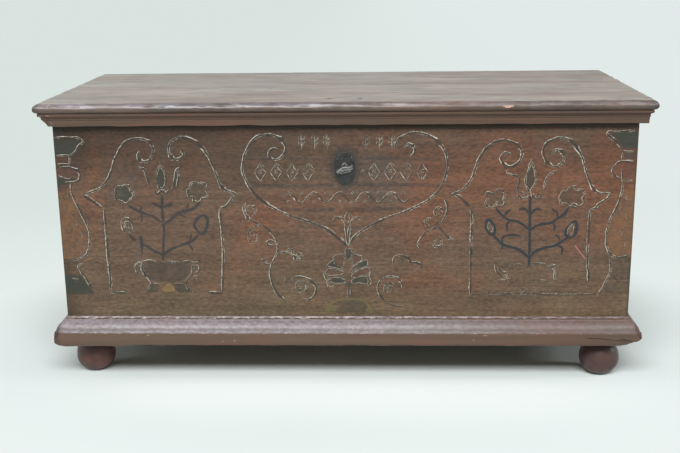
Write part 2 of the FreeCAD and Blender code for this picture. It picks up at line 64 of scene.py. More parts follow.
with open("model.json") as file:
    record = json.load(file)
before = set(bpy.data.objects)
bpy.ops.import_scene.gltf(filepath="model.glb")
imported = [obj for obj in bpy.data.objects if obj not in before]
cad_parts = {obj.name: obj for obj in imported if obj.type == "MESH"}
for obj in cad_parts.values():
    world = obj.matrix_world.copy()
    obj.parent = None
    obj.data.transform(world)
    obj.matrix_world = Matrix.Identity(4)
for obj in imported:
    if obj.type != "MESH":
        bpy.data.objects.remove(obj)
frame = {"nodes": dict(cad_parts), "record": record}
cad_low, cad_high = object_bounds()

MM = 0.001

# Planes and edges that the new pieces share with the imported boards, in millimetres.
case_low, case_high = (np.array(corner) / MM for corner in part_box("front_board_upper"))
FRONT = float(case_low[1])
HALF_WIDTH = float(case_high[0])
CASE_TOP = float(case_high[2])
CASE_BACK = float(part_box("back_board_upper")[1][1] / MM)
LID_TOP = float(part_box("lid_plank_front")[1][2] / MM)
LID_JOINT = float(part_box("lid_plank_front")[1][1] / MM)
LID_BACK = float(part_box("lid_plank_rear")[1][1] / MM)
BASE_LOW = float(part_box("base_moulding_front")[0][2] / MM)


def shade(red, green, blue):
    """Linear colour of a display colour given from 0 to 255."""
    return tuple(
        c / 12.92 if c <= 0.04045 else ((c + 0.055) / 1.055) ** 2.4
        for c in (red / 255, green / 255, blue / 255)
    )


def colour(name, description, red, green, blue):
    """Colour property with a display colour as its default."""
    default = shade(red, green, blue)
    return FloatVectorProperty(
        name=name, description=description, default=default, subtype="COLOR", size=3, min=0, max=1
    )


def amount(name, description, default, **kind):
    """Number property that isn't negative."""
    return FloatProperty(name=name, description=description, default=default, min=0, **kind)


def length(name, description, millimetres):
    """Length property with a default in millimetres."""
    return amount(name, description, millimetres * MM, subtype="DISTANCE", unit="LENGTH")


class ChestPaint(bpy.types.PropertyGroup):
    """Colours of the paint, wood and iron."""

    board_brown: colour("Board brown", "Main colour of the case boards", 94, 74, 60)
    board_warm: colour("Board red brown", "Where the paint is rubbed to red brown", 110, 71, 51)
    board_olive: colour("Board olive", "Dulled paint near the floor and the seams", 96, 82, 62)
    ember: colour("Ember", "Small orange specks of the boards", 128, 84, 54)
    moss: colour("Moss", "Small dull green specks of the boards", 70, 72, 52)
    slate: colour("Slate", "Blue grey patches of the boards", 84, 82, 78)
    # Dark colour for the painted shade and shadow line under the lid, the darker upright edges and the stain
    # round the keyhole.
    grime: colour("Grime", "Dark dirt under the lid and at the ends", 34, 24, 19)
    # Colour of the painted shade on the moulding under the lid's nose.
    moulding_shade: colour("Tallow", "Warm dusk on the moulding under the lid", 66, 44, 28)
    moulding_brown: colour("Moulding brown", "Paint of the mouldings", 89, 68, 53)
    moulding_red: colour("Moulding red", "Redder patches of the mouldings", 100, 66, 52)
    # Pale colour of rubbed edges and chips; on the mouldings' edges, paler to the left, it is also a painted
    # highlight.
    moulding_pale: colour("Moulding pale", "Rubbed edges of the mouldings", 186, 176, 172)
    # Colour of the painted sheen, a lilac grey highlight, on the faces that look up.
    painted_sheen: colour("Bloom", "Lilac grey bloom on faces that look up", 139, 133, 141)
    lid_brown: colour("Lid brown", "Paint of the lid", 138, 118, 111)
    lid_grey: colour("Lid grey", "Streaks rubbed grey on the lid", 160, 153, 145)
    nose_brown: colour("Nose brown", "Paint of the lid's rounded edge", 86, 70, 60)
    foot_maroon: colour("Foot maroon", "Paint of the bun feet", 89, 53, 44)
    # Dark colour of the feet's clouds and of the ends of the mouldings and nose; also used for painted shade on
    # the feet's tops and the mouldings' side returns, and to darken the right.
    foot_dark: colour("Foot dark", "Dark rubbed rings of the feet and worn corners", 53, 39, 36)
    pine_light: colour("Pine light", "Early wood of the bare pine", 196, 164, 120)
    pine_dark: colour("Pine dark", "Late wood and stains of the bare pine", 140, 104, 68)
    old_light: colour("Old pine light", "Pine outside, greyed by age", 126, 106, 86)
    old_dark: colour("Old pine dark", "Dark bands of the greyed pine", 88, 70, 54)
    raw_wood: colour("Raw wood", "Fresh breaks and chips", 88, 62, 50)
    iron_dark: colour("Iron", "Hammered iron", 48, 48, 47)
    # Colour of the iron's bright crests and rims: rubbed iron and a painted highlight.
    iron_rubbed_highlight: colour("Rubbed iron", "Bright ridges of the iron", 176, 174, 170)
    iron_rust: colour("Rust", "Rust on the iron", 92, 66, 52)


class ChestOrnament(bpy.types.PropertyGroup):
    """Sizes and colours of the cut and filled ornament."""

    line_half_width: length("Line half width", "Half the width of a cut line with its shaded side", 5.0)
    line_lip: length("Line lip", "How far the lips of a cut line stand above the board", 0.30)
    fill_rise: length("Fill rise", "Thickness of a painted fill", 0.12)
    chalk: colour("Chalk", "Pale paint in the cut lines", 198, 192, 175)
    # Colour of the painted shadow beside each cut line, mostly on its lower right side.
    lee: colour("Line shade", "Dark side of the cut lines", 42, 44, 42)
    stroke_blue: colour("Stem", "Dark blue grey of the stems", 40, 45, 49)
    green_grey: colour("Green grey", "Dark fill of caps, bases and leaves", 50, 54, 46)
    wine: colour("Wine", "Dark red fill of rings and petals", 84, 56, 47)
    amber: colour("Amber", "Orange brown fill of the half balusters", 120, 84, 54)
    urn_brown: colour("Urn", "Dark fill of the urn", 56, 52, 50)
    ochre: colour("Ochre", "Small arch under the urn", 134, 108, 64)
    moss_green: colour("Moss green", "Yellow green feet of the mound", 100, 96, 58)
    scratch: colour("Scratch", "Pink scratch on the right panel", 176, 112, 100)
    crack: colour("Crack", "Dark cracks of the mouldings", 44, 34, 30)
    splinter: colour("Splinter", "Pale chips of the mouldings", 186, 168, 152)
    fresh_chip: colour("Fresh chip", "Bare wood in the chip on the lid's edge", 206, 170, 148)


class ChestWear(bpy.types.PropertyGroup):
    """How worn the edges are."""

    nose_wear: length("Nose wear", "Depth of the dents in the lid's rounded edge", 2.1)
    moulding_wear: length("Moulding wear", "Depth of the wear on the mouldings", 1.1)
    foot_wear: length("Foot wear", "Unevenness of the turned feet", 0.8)
    seed: IntProperty(name="Seed", description="Start of the random wear", default=5, min=0)


class ChestStage(bpy.types.PropertyGroup):
    """Floor, light and camera."""

    floor: colour("Floor", "Pale floor", 224, 234, 232)
    floor_glow: colour("Far floor", "Floor in front, far from the chest", 236, 244, 242)
    # Floor colour painted lighter close in front of the chest: painted light where the chest shades the floor.
    floor_painted_light: colour("Clean floor", "Cleaner floor close in front of the chest", 238, 246, 245)
    backdrop: colour("Backdrop", "Pale background", 217, 227, 223)
    backdrop_light: colour("Light backdrop", "Background on the right", 225, 234, 232)
    front_box: amount("Front box", "Power of the wide light in front", 425, unit="POWER")
    side_box: amount("Side box", "Power of the low light on the right", 16, unit="POWER")
    sky: amount("Sky", "Strength of the light from all round", 0.15)
    lens: amount("Lens", "Focal length on a 36 mm wide frame", 55.13, unit="CAMERA")


def paint():
    return bpy.context.scene.chest_paint


def ornament():
    return bpy.context.scene.chest_ornament


def wear():
    return bpy.context.scene.chest_wear


# ---------------------------------------------------------------- surfaces


def waviness(seed, reach, *where):
    """Smooth random height between about -1 and 1: a sum of sine waves, each with its own random direction
    and phase, over the coordinates where, with a wavelength near reach."""
    random = np.random.default_rng(seed)
    total = 0.0
    for _ in range(9):
        direction = random.normal(size=len(where))
        direction *= random.uniform(0.55, 1.6) / (np.linalg.norm(direction) * reach)
        turn = sum(d * w for d, w in zip(direction, where))
        total = total + np.sin(2 * np.pi * (turn + random.random()))
    return total / 3.4


def smooth_line(points, step, closed=False):
    """Curve through given points, spaced step apart: each piece is the cubic that leaves a point along
    the line between its two neighbours (Catmull-Rom), then the whole is respaced by its running length."""
    points = np.asarray(points, float)
    if closed:
        padded = np.vstack([points[-1], points, points[:2]])
    else:
        padded = np.vstack([2 * points[0] - points[1], points, 2 * points[-1] - points[-2]])
    a, b, c, d = (padded[i : len(padded) - 3 + i, None, :] for i in range(4))
    t = np.linspace(0, 1, 17)[None, :-1, None]
    curve = 0.5 * (2 * b + (c - a) * t + (2 * a - 5 * b + 4 * c - d) * t**2 + (3 * b - a - 3 * c + d) * t**3)
    curve = np.vstack([curve.reshape(-1, 2), padded[-2]])
    run = np.concatenate([[0], np.cumsum(np.hypot(*np.diff(curve, axis=0).T))])
    count = max(3, int(round(run[-1] / step)) + 1)
    at = np.linspace(0, run[-1], count)
    return np.stack([np.interp(at, run, curve[:, 0]), np.interp(at, run, curve[:, 1])], -1), at


def grid_faces(rings, points, wrap):
    """Quads between neighbouring rings of a grid; wrap joins the last point of each ring to its first."""
    row = points * np.arange(rings - 1)[:, None]
    j = np.arange(points if wrap else points - 1)[None, :]
    k = (j + 1) % points
    return np.stack([row + j, row + k, row + points + k, row + points + j], -1).reshape(-1, 4)


def spread(marks, shape, times=1):
    """The marks as one number for each point of a grid of the given shape, repeated times over."""
    return {key: np.tile(np.broadcast_to(value, shape).reshape(-1), times) for key, value in marks.items()}


def tube_shell(grid, marks, closed=False):
    """Closed shell of a grid of rings: rings joined along the path, and one face over each end. A closed path
    comes back to its first ring instead, where the two are merged."""
    rings, points = grid.shape[:2]
    ends = [] if closed else [list(range(points))[::-1], list(range((rings - 1) * points, rings * points))]
    return {
        "verts": grid.reshape(-1, 3),
        "faces": grid_faces(rings, points, True).tolist() + ends,
        "marks": spread(marks, (rings, points)),
    }


def slab_shell(front, back, marks):
    """Closed shell of two grids of the same shape, one in front of the other, joined round their rim."""
    rows, cols = front.shape[:2]
    quads = grid_faces(rows, cols, False)
    index = np.arange(rows * cols).reshape(rows, cols)
    rim = np.concatenate([index[0, :-1], index[:-1, -1], index[-1, :0:-1], index[:0:-1, 0]])
    after = np.roll(rim, -1)
    size = rows * cols
    sides = np.stack([rim, after, after + size, rim + size], -1)
    return {
        "verts": np.concatenate([front.reshape(-1, 3), back.reshape(-1, 3)]),
        "faces": quads.tolist() + (quads[:, ::-1] + size).tolist() + sides[:, ::-1].tolist(),
        "marks": spread(marks, (rows, cols), 2),
    }


def build(name, shells, looks, body, replaced=(), crease=38):
    """One mesh object of closed shells given in millimetres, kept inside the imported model's box and riding on
    its body. Its faces have the first look, unless a shell's slots say otherwise."""
    verts = np.concatenate([shell["verts"] for shell in shells]) * MM
    verts = np.clip(verts, list(cad_low), list(cad_high))
    faces = []
    slots = []
    start = 0
    for shell in shells:
        faces += [[v + start for v in face] for face in shell["faces"]]
        slots += shell.get("slots", [0] * len(shell["faces"]))
        start += len(shell["verts"])
    mesh = bpy.data.meshes.new(name)
    mesh.from_pydata(verts.tolist(), [], faces)
    for key in shells[0]["marks"]:
        values = np.concatenate([shell["marks"][key] for shell in shells])
        mesh.attributes.new(key, "FLOAT", "POINT").data.foreach_set("value", values.astype(np.float32))
    for look in looks:
        mesh.materials.append(materials[look])
    mesh.polygons.foreach_set("material_index", slots)
    work = bmesh.new()
    work.from_mesh(mesh)
    bmesh.ops.remove_doubles(work, verts=work.verts, dist=1e-7)
    bmesh.ops.recalc_face_normals(work, faces=work.faces)
    work.to_mesh(mesh)
    work.free()
    mesh.shade_smooth()
    mesh.set_sharp_from_angle(angle=math.radians(crease))
    made = bpy.data.objects.new(name, mesh)
    bpy.context.scene.collection.objects.link(made)
    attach(made, body)
    if replaced:
        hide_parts(*replaced)
    return made


# ---------------------------------------------------------------- materials

groups = {}
materials = {}

VECTOR = "NodeSocketVector"
COLOUR = "NodeSocketColor"
NUMBER = "NodeSocketFloat"
FINISH = {"Color": COLOUR, "Roughness": NUMBER, "Height": NUMBER}

# How deep the paint of a board is taken to go, and how thick the end boards are, in millimetres.
SKIN = 0.4
END_BOARD = 22.3

# Linear colours of the pores of the paint, the scuffs of the feet and the rust round the lid's nails; then the
# x, y and radius of each stain in millimetres.
PORE = (0.022, 0.019, 0.013)
SCUFF = (0.02, 0.015, 0.013)
NAIL_RUST = (0.05, 0.035, 0.028)
NAIL_STAINS = [(-31.5, -237.0, 12.0), (38.5, -237.0, 10.0), (-180.0, -60.0, 7.0)]

# Broad soft patches of the board paint: colour, middle (x, z), half sizes and strength, in millimetres.
BOARD_STAINS = (
    ("ember", (-566, 530), (26, 110), 0.6),
    ("ember", (-575, 345), (30, 60), 0.3),
    ("ember", (-566, 428), (26, 34), 0.35),
    ("slate", (-500, 470), (60, 60), 0.55),
    ("board_warm", (-370, 530), (120, 70), 0.35),
    ("slate", (-395, 540), (30, 40), 0.35),
    ("slate", (70, 480), (150, 90), 0.5),
    ("slate", (-470, 290), (40, 70), 0.3),
    ("board_warm", (400, 560), (170, 60), 0.4),
    ("ember", (590, 520), (50, 90), 0.3),
    ("board_warm", (520, 400), (190, 150), 0.3),
    ("grime", (4, 500), (52, 62), 0.6),
)


class Value:
    """Output of a node. Arithmetic with it makes the nodes that work out the result."""

    def __init__(self, wires, socket):
        self.wires = wires
        self.socket = socket

    def __add__(self, other):
        return self.wires.math("ADD", self, other)

    def __mul__(self, other):
        return self.wires.math("MULTIPLY", self, other)

    def __sub__(self, other):
        return self.wires.math("SUBTRACT", self, other)

    def __rsub__(self, other):
        return self.wires.math("SUBTRACT", other, self)

    def __abs__(self):
        return self.wires.math("ABSOLUTE", self)

    def most(self, other):
        return self.wires.math("MAXIMUM", self, other)

    def over(self, limit):
        return self.wires.math("GREATER_THAN", self, limit)

    def under(self, limit):
        return self.wires.math("LESS_THAN", self, limit)

    def window(self, low, high, to_low=0.0, to_high=1.0):
        """Smooth step from to_low at low to to_high at high."""
        inputs = {"Value": self, "From Min": low, "From Max": high, "To Min": to_low, "To Max": to_high}
        return self.wires.value("ShaderNodeMapRange", inputs, interpolation_type="SMOOTHSTEP")

    def swing(self, to_low, to_high):
        """Smooth step from to_low at 0 to to_high at 1."""
        return self.window(0.0, 1.0, to_low, to_high)


class Wiring:
    """Short names for making and joining the nodes of one tree."""

    def __init__(self, tree):
        self.tree = tree

    def feed(self, socket, value):
        """Links a value to an input, or sets the input to a number, a vector or a colour of three parts."""
        value = getattr(value, "socket", value)
        if isinstance(value, bpy.types.NodeSocket):
            self.tree.links.new(value, socket)
        elif socket.type == "RGBA":
            socket.default_value = (*value[:3], 1.0)
        else:
            socket.default_value = value

    def node(self, kind, inputs=(), **settings):
        made = self.tree.nodes.new(kind)
        for key, value in settings.items():
            setattr(made, key, value)
        for key, value in dict(inputs).items():
            self.feed(made.inputs[key], value)
        return made

    def value(self, kind, inputs=(), output=0, **settings):
        return Value(self, self.node(kind, inputs, **settings).outputs[output])

    def math(self, operation, first, second=0.0):
        return self.value("ShaderNodeMath", {0: first, 1: second}, operation=operation)

    def mix(self, share, first, second, blend="MIX"):
        inputs = {0: share, 6: first, 7: second}
        return self.value("ShaderNodeMix", inputs, 2, data_type="RGBA", blend_type=blend)

    def layers(self, base, *layers):
        """Colour under further layers of (share, colour)."""
        for share, layer in layers:
            base = self.mix(share, base, layer)
        return base

    def tinted(self, base, tint):
        """Colour made darker or lighter by tint, which is 1 where it stays as it is."""
        return self.mix(1.0, base, self.join(tint, tint, tint), "MULTIPLY")

    def stretch(self, vector, scale, move=(0, 0, 0)):
        return self.value("ShaderNodeMapping", {"Vector": vector, "Scale": scale, "Location": move})

    def noise(self, vector, scale, detail=3.0, roughness=0.55, distortion=0.0, move=(0, 0, 0)):
        """Noise of one scale, or of a scale for each direction and then moved."""
        if isinstance(scale, tuple):
            vector = self.stretch(vector, scale, move)
            scale = 1.0
        inputs = {"Vector": vector, "Scale": scale, "Detail": detail, "Roughness": roughness}
        inputs["Distortion"] = distortion
        return self.value("ShaderNodeTexNoise", inputs, "Fac")

    def away(self, vector, scale=(1, 1, 1), move=(0, 0, 0)):
        """Distance from the origin once the vector is stretched and moved."""
        vector = self.stretch(vector, scale, move)
        return self.value("ShaderNodeVectorMath", {0: vector}, "Value", operation="LENGTH")

    def split(self, vector):
        return [Value(self, part) for part in self.node("ShaderNodeSeparateXYZ", {0: vector}).outputs]

    def join(self, x, y, z):
        return self.value("ShaderNodeCombineXYZ", {0: x, 1: y, 2: z})

    def place(self):
        return self.value("ShaderNodeTexCoord", output="Object")

    def mark(self, name):
        return self.value("ShaderNodeAttribute", output="Fac", attribute_name=name)

    def use(self, group_name, **inputs):
        """Outputs of a shared node group, by name."""
        made = self.node("ShaderNodeGroup", node_tree=groups[group_name])
        for key, value in inputs.items():
            self.feed(made.inputs[key], value)
        return {output.name: Value(self, output) for output in made.outputs}

    def bump(self, height, strength, millimetres):
        inputs = {"Height": height, "Strength": strength, "Distance": millimetres * MM}
        return self.value("ShaderNodeBump", inputs)


def group(name, takes, gives):
    """Empty node group with inputs and outputs of the given kinds; returns its wiring and its inputs."""
    tree = bpy.data.node_groups.new(name, "ShaderNodeTree")
    for way, sockets in (("INPUT", takes), ("OUTPUT", gives)):
        for label, kind in sockets.items():
            tree.interface.new_socket(label, in_out=way, socket_type=kind)
    wires = Wiring(tree)
    return wires, {given.name: Value(wires, given) for given in wires.node("NodeGroupInput").outputs}


def finish_group(wires, **outputs):
    wires.node("NodeGroupOutput", outputs)
    return wires.tree


def grain_group():
    """Grain along the vector's X: fine fibre and longer streaks, each about 0 to 1."""
    wires, given = group("grain", {"Vector": VECTOR}, {"Fibre": NUMBER, "Streak": NUMBER})
    fibre = wires.noise(given["Vector"], (26, 520, 520), 3.0, 0.6)
    streak = wires.noise(given["Vector"], (2.2, 70, 70), 4.0, 0.6)
    return finish_group(wires, Fibre=fibre.window(0.25, 0.75), Streak=streak.window(0.3, 0.7))


def pine_group():
    """Bare aged pine: wavy bands of early and late wood along X, with darker stains."""
    wires, given = group("bare_pine_wood", {"Vector": VECTOR, "Light": COLOUR, "Dark": COLOUR}, FINISH)
    run = given["Vector"]
    grain = wires.use("grain", Vector=run)
    waves = {"Vector": wires.stretch(run, (0.4, 3.0, 9)), "Scale": 3.4, "Distortion": 9.0}
    waves.update({"Detail": 3.0, "Detail Scale": 0.8})
    wave = wires.value("ShaderNodeTexWave", waves, "Fac", bands_direction="Y")
    bands = wave.window(0.2, 0.95) * 0.55
    stain = wires.noise(run, 3.0, 4.0).window(0.45, 0.8, 0.0, 0.5)
    base = wires.mix(bands + grain["Streak"] * 0.25 + stain, given["Light"], given["Dark"])
    return finish_group(
        wires,
        Color=wires.tinted(base, grain["Fibre"].swing(0.86, 1.08)),
        Roughness=grain["Streak"].swing(0.62, 0.78),
        Height=grain["Fibre"] + bands * 0.8,
    )


def board_group():
    """Old brown paint on a board, rubbed along the grain: red-brown patches, an olive foot, specks and pores.
    The vector runs along the board, across it and up."""
    takes = {"Vector": VECTOR, "Brown": COLOUR, "Warm": COLOUR, "Olive": COLOUR}
    wires, given = group("board_paint", takes, FINISH)
    colours = paint()
    vector = given["Vector"]
    x, _, z = wires.split(vector)
    grain = wires.use("grain", Vector=vector)
    cloud = wires.noise(wires.stretch(vector, (1.0, 1.0, 1.5)), 3.6, 5.0, 0.6)
    speckle = wires.noise(vector, (120, 120, 300), 3.0, 0.6)
    warm = (cloud + x.window(-0.5, 0.6, -0.05, 0.05)).window(0.42, 0.66) * speckle.window(0.3, 0.6, 0.2, 1.0)
    spot = wires.noise(vector, (40, 70, 105), 3.0, 0.6)
    moss = wires.noise(vector, (36, 64, 92), 3.0, 0.6, move=(3.1, 0.0, 5.7))
    patchy = wires.noise(vector, 7.0, 4.0).window(0.3, 0.7, 0.25, 0.95)
    base = wires.layers(
        given["Brown"],
        (warm, given["Warm"]),
        (spot.window(0.56, 0.72, 0.0, 0.42), colours.ember),
        (moss.window(0.56, 0.72, 0.0, 0.55), colours.moss),
        (z.window(0.16, 0.36, 1.0, 0.0) * patchy, given["Olive"]),
        *board_stains(wires, vector),
    )
    tint = grain["Fibre"].swing(-0.1, 0.08) + 1.0 + grain["Streak"].swing(-0.12, 0.09)
    tint = tint + wires.noise(vector, (88, 130, 190), 4.0, 0.7).window(0.3, 0.7, -0.33, 0.31)
    tint = tint + wires.noise(vector, (11, 15, 32), 4.0, 0.6).window(0.34, 0.64, -0.12, 0.12)
    pores = wires.noise(vector, (110, 110, 260), 2.0, 0.7).window(0.62, 0.74)
    # Painted shade and a painted shadow line under the lid, darker upright edges, then the pores.
    base = wires.layers(wires.tinted(base, tint), (board_shade_and_grime(x, z), colours.grime), (pores * 0.5, PORE))
    return finish_group(
        wires, Color=base, Roughness=grain["Streak"].swing(0.5, 0.64), Height=grain["Fibre"] - pores
    )


def board_stains(wires, vector):
    """Layers of the broad soft patches, broken up by one smeared noise."""
    smear = wires.noise(vector, (30, 30, 20), 4.0, 0.65).window(0.36, 0.62, 0.15, 1.0)
    layers = []
    for name, (x, z), (half_wide, half_high), strength in BOARD_STAINS:
        scale = (1 / (half_wide * MM), 1.0, 1 / (half_high * MM))
        away = wires.away(vector, scale, (-x / half_wide, 0.0, -z / half_high))
        layers.append((away.window(0.25, 1.0, strength, 0.0) * smear, getattr(paint(), name)))
    return layers


def board_shade_and_grime(x, z):
    """Share of dark colour: painted shade under the lid, mostly on the left and at the ends, darker upright
    edges, and a painted shadow line under the lid's moulding."""

    def rising(low, high, to_low=0.0, to_high=1.0):
        return z.window((CASE_TOP - low) * MM, (CASE_TOP - high) * MM, to_low, to_high)

    # Painted shade under the lid, mostly on the left and at the ends.
    high_up = rising(220, 50) * (x.window(-0.45, 0.2, 0.58, 0.26) + abs(x).window(0.5, 0.66) * 0.22)
    edges = high_up.most(x.window(-0.6, -0.653, 0.0, 0.45)).most(x.window(0.642, 0.652, 0.0, 0.5))
    # Painted shadow line just under the lid's moulding.
    return edges.most(rising(52, 31, 0.0, 0.94) * rising(26, 16, 1.0, 0.3))


def chips_group():
    """Paint flaked off along an edge: 1 where the edge mark and a broken noise meet."""
    takes = {"Vector": VECTOR, "Edge": NUMBER, "Scale": NUMBER}
    wires, given = group("edge_chips", takes, {"Mask": NUMBER})
    share = given["Edge"] * 0.27 + wires.noise(given["Vector"], given["Scale"], 4.0, 0.65)
    return finish_group(wires, Mask=share.window(0.80, 0.92))


def material(name):
    """New empty material and its wiring."""
    made = bpy.data.materials.new(name)
    made.use_nodes = True
    made.node_tree.nodes.clear()
    return made, Wiring(made.node_tree)


def principled(wires, **inputs):
    """Output of the surface shader with the given inputs."""
    named = {key.replace("_", " "): value for key, value in inputs.items()}
    return wires.value("ShaderNodeBsdfPrincipled", named)


def finish_material(made, wires, **inputs):
    wires.node("ShaderNodeOutputMaterial", {0: principled(wires, **inputs)})
    return made


def board_paint(wires, along, z):
    colours = paint()
    vector = wires.join(along, 0.0, z)
    brown, warm, olive = colours.board_brown, colours.board_warm, colours.board_olive
    return wires.use("board", Vector=vector, Brown=brown, Warm=warm, Olive=olive)


def end_run(wires, x, y):
    """Run of the paint along an end of the case, kept clear of the front's and of the other end's."""
    return y + (wires.math("SIGN", x) * 1.7 + 4.0)


def front_paint(wires):
    """Board paint as it lies on the chest's front, for whatever is painted on the boards."""
    x, _, z = wires.split(wires.place())
    return board_paint(wires, x, z)


def painted_front(made, wires, base, ground):
    """Paint on the front board: the ground's own roughness and grain under another colour."""
    normal = wires.bump(ground["Height"], 0.3, 0.3)
    rough = ground["Roughness"]
    return finish_material(
        made, wires, Base_Color=base, Roughness=rough, Normal=normal, Specular_IOR_Level=0.32
    )


def pine(wires, run, outside):
    """Bare pine, greyed where outside is 1."""
    colours = paint()
    light = wires.mix(outside, colours.pine_light, colours.old_light)
    dark = wires.mix(outside, colours.pine_dark, colours.old_dark)
    return wires.use("pine", Vector=run, Light=light, Dark=dark)


def case_material():
    """Painted outside and bare inside of the case boards."""
    made, wires = material("painted_case")
    x, y, z = wires.split(wires.place())
    at_front = y.under((FRONT + SKIN) * MM)
    at_end = abs(x).over((HALF_WIDTH - SKIN) * MM) * (1.0 - at_front)
    painted = at_front.most(at_end)
    coat = board_paint(wires, x * at_front + end_run(wires, x, y) * at_end, z)
    in_end_board = abs(x).over((HALF_WIDTH - END_BOARD) * MM)
    run = wires.mix(in_end_board, wires.join(x, y, z), wires.join(y, x, z))
    wood = pine(wires, run, y.over((CASE_BACK - SKIN) * MM))
    return finish_material(
        made,
        wires,
        Base_Color=wires.mix(painted, wood["Color"], coat["Color"]),
        Roughness=painted * -0.1 + wood["Roughness"],
        Normal=wires.bump(coat["Height"] + wood["Height"], 0.35, 0.3),
        Specular_IOR_Level=0.32,
    )


def pine_material(name, along_y):
    """Bare pine, greyed at the back and underneath, and painted where it comes through the case's ends."""
    made, wires = material(name)
    x, y, z = wires.split(wires.place())
    run = wires.join(y, x, z) if along_y else wires.join(x, y, z)
    wood = pine(wires, run, y.over((CASE_BACK - SKIN) * MM).most(z.under((BASE_LOW + SKIN) * MM)))
    at_end = abs(x).over((HALF_WIDTH - SKIN) * MM)
    base = wires.mix(at_end, wood["Color"], board_paint(wires, end_run(wires, x, y), z)["Color"])
    normal = wires.bump(wood["Height"], 0.35, 0.3)
    return finish_material(made, wires, Base_Color=base, Roughness=wood["Roughness"], Normal=normal)


def moulding_material():
    """Purple-brown paint of the mouldings: streaks along them, redder patches, rubbed and chipped arrises that
    are also a painted highlight, a painted sheen on faces that look up, and painted shade under the lid and on
    the side returns.
    """
    made, wires = material("painted_moulding")
    colours = paint()
    place = wires.place()
    x, y, z = wires.split(place)
    edge = wires.mark("edge")
    raw = wires.mark("raw")
    flow = wires.join(wires.mark("along"), wires.mark("around"), 0.0)
    grain = wires.use("grain", Vector=flow)
    red = wires.noise(flow, (5, 14, 1), 4.0).window(0.45, 0.65) * 0.8
    speck = wires.noise(place, 420.0, 2.0).window(0.3, 0.7, -0.07, 0.07)
    base = wires.mix(red, colours.moulding_brown, colours.moulding_red)
    # Painted sheen on the upper faces: lumpy, and stronger on the left.
    leather = wires.noise(place, (90, 120, 150), 4.0, 0.65).window(0.34, 0.64, 0.42, 1.0)
    painted_sheen = wires.mark("up").window(0.15, 0.6) * leather * x.window(-0.1, 0.6, 0.86, 0.3)
    rubbed = wires.use("chips", Vector=wires.stretch(flow, (0.35, 1, 1)), Edge=edge, Scale=190.0)["Mask"]
    splinter = wires.noise(place, (60, 300, 500)).window(0.3, 0.7, 0.55, 1.05)
    mitre = HALF_WIDTH + FRONT
    past_mitre = (abs(x) + y).window((mitre - 1) * MM, (mitre + 1) * MM, 0.0, 0.6)
    base = wires.layers(
        wires.tinted(base, grain["Streak"].swing(-0.1, 0.1) + 1.0 + speck),
        (painted_sheen, colours.painted_sheen),
        # Painted shade on the moulding under the lid's nose.
        (z.window(0.4, 0.58, 0.0, 0.36), colours.moulding_shade),
        # Darker towards the right.
        (x.window(0.2, 0.6, 0.0, 0.16), colours.foot_dark),
        # Rubbed edges, paler on the left: worn paint and a painted highlight.
        (rubbed * x.window(-0.1, 0.6, 0.8, 0.34), colours.moulding_pale),
        (raw.window(0.35, 0.65), wires.tinted(colours.raw_wood, splinter)),
        (x.window(-0.662, -0.674, 0.0, 0.62), colours.foot_dark),
        # Painted shade on the side returns, darkest at the front corners.
        (past_mitre * y.window(-0.2, -0.26, 0.55, 1.0), colours.foot_dark),
    )
    return finish_material(
        made,
        wires,
        Base_Color=base,
        Roughness=grain["Streak"].swing(0.44, 0.58) + raw * 0.2 + edge * 0.2,
        Normal=wires.bump(grain["Fibre"] * 0.35 + wires.noise(place, 60.0), 0.45, 0.6),
        Coat_Weight=(1.0 - edge) * x.window(-0.1, 0.6, 0.3, 0.04),
        Coat_Roughness=0.3,
    )


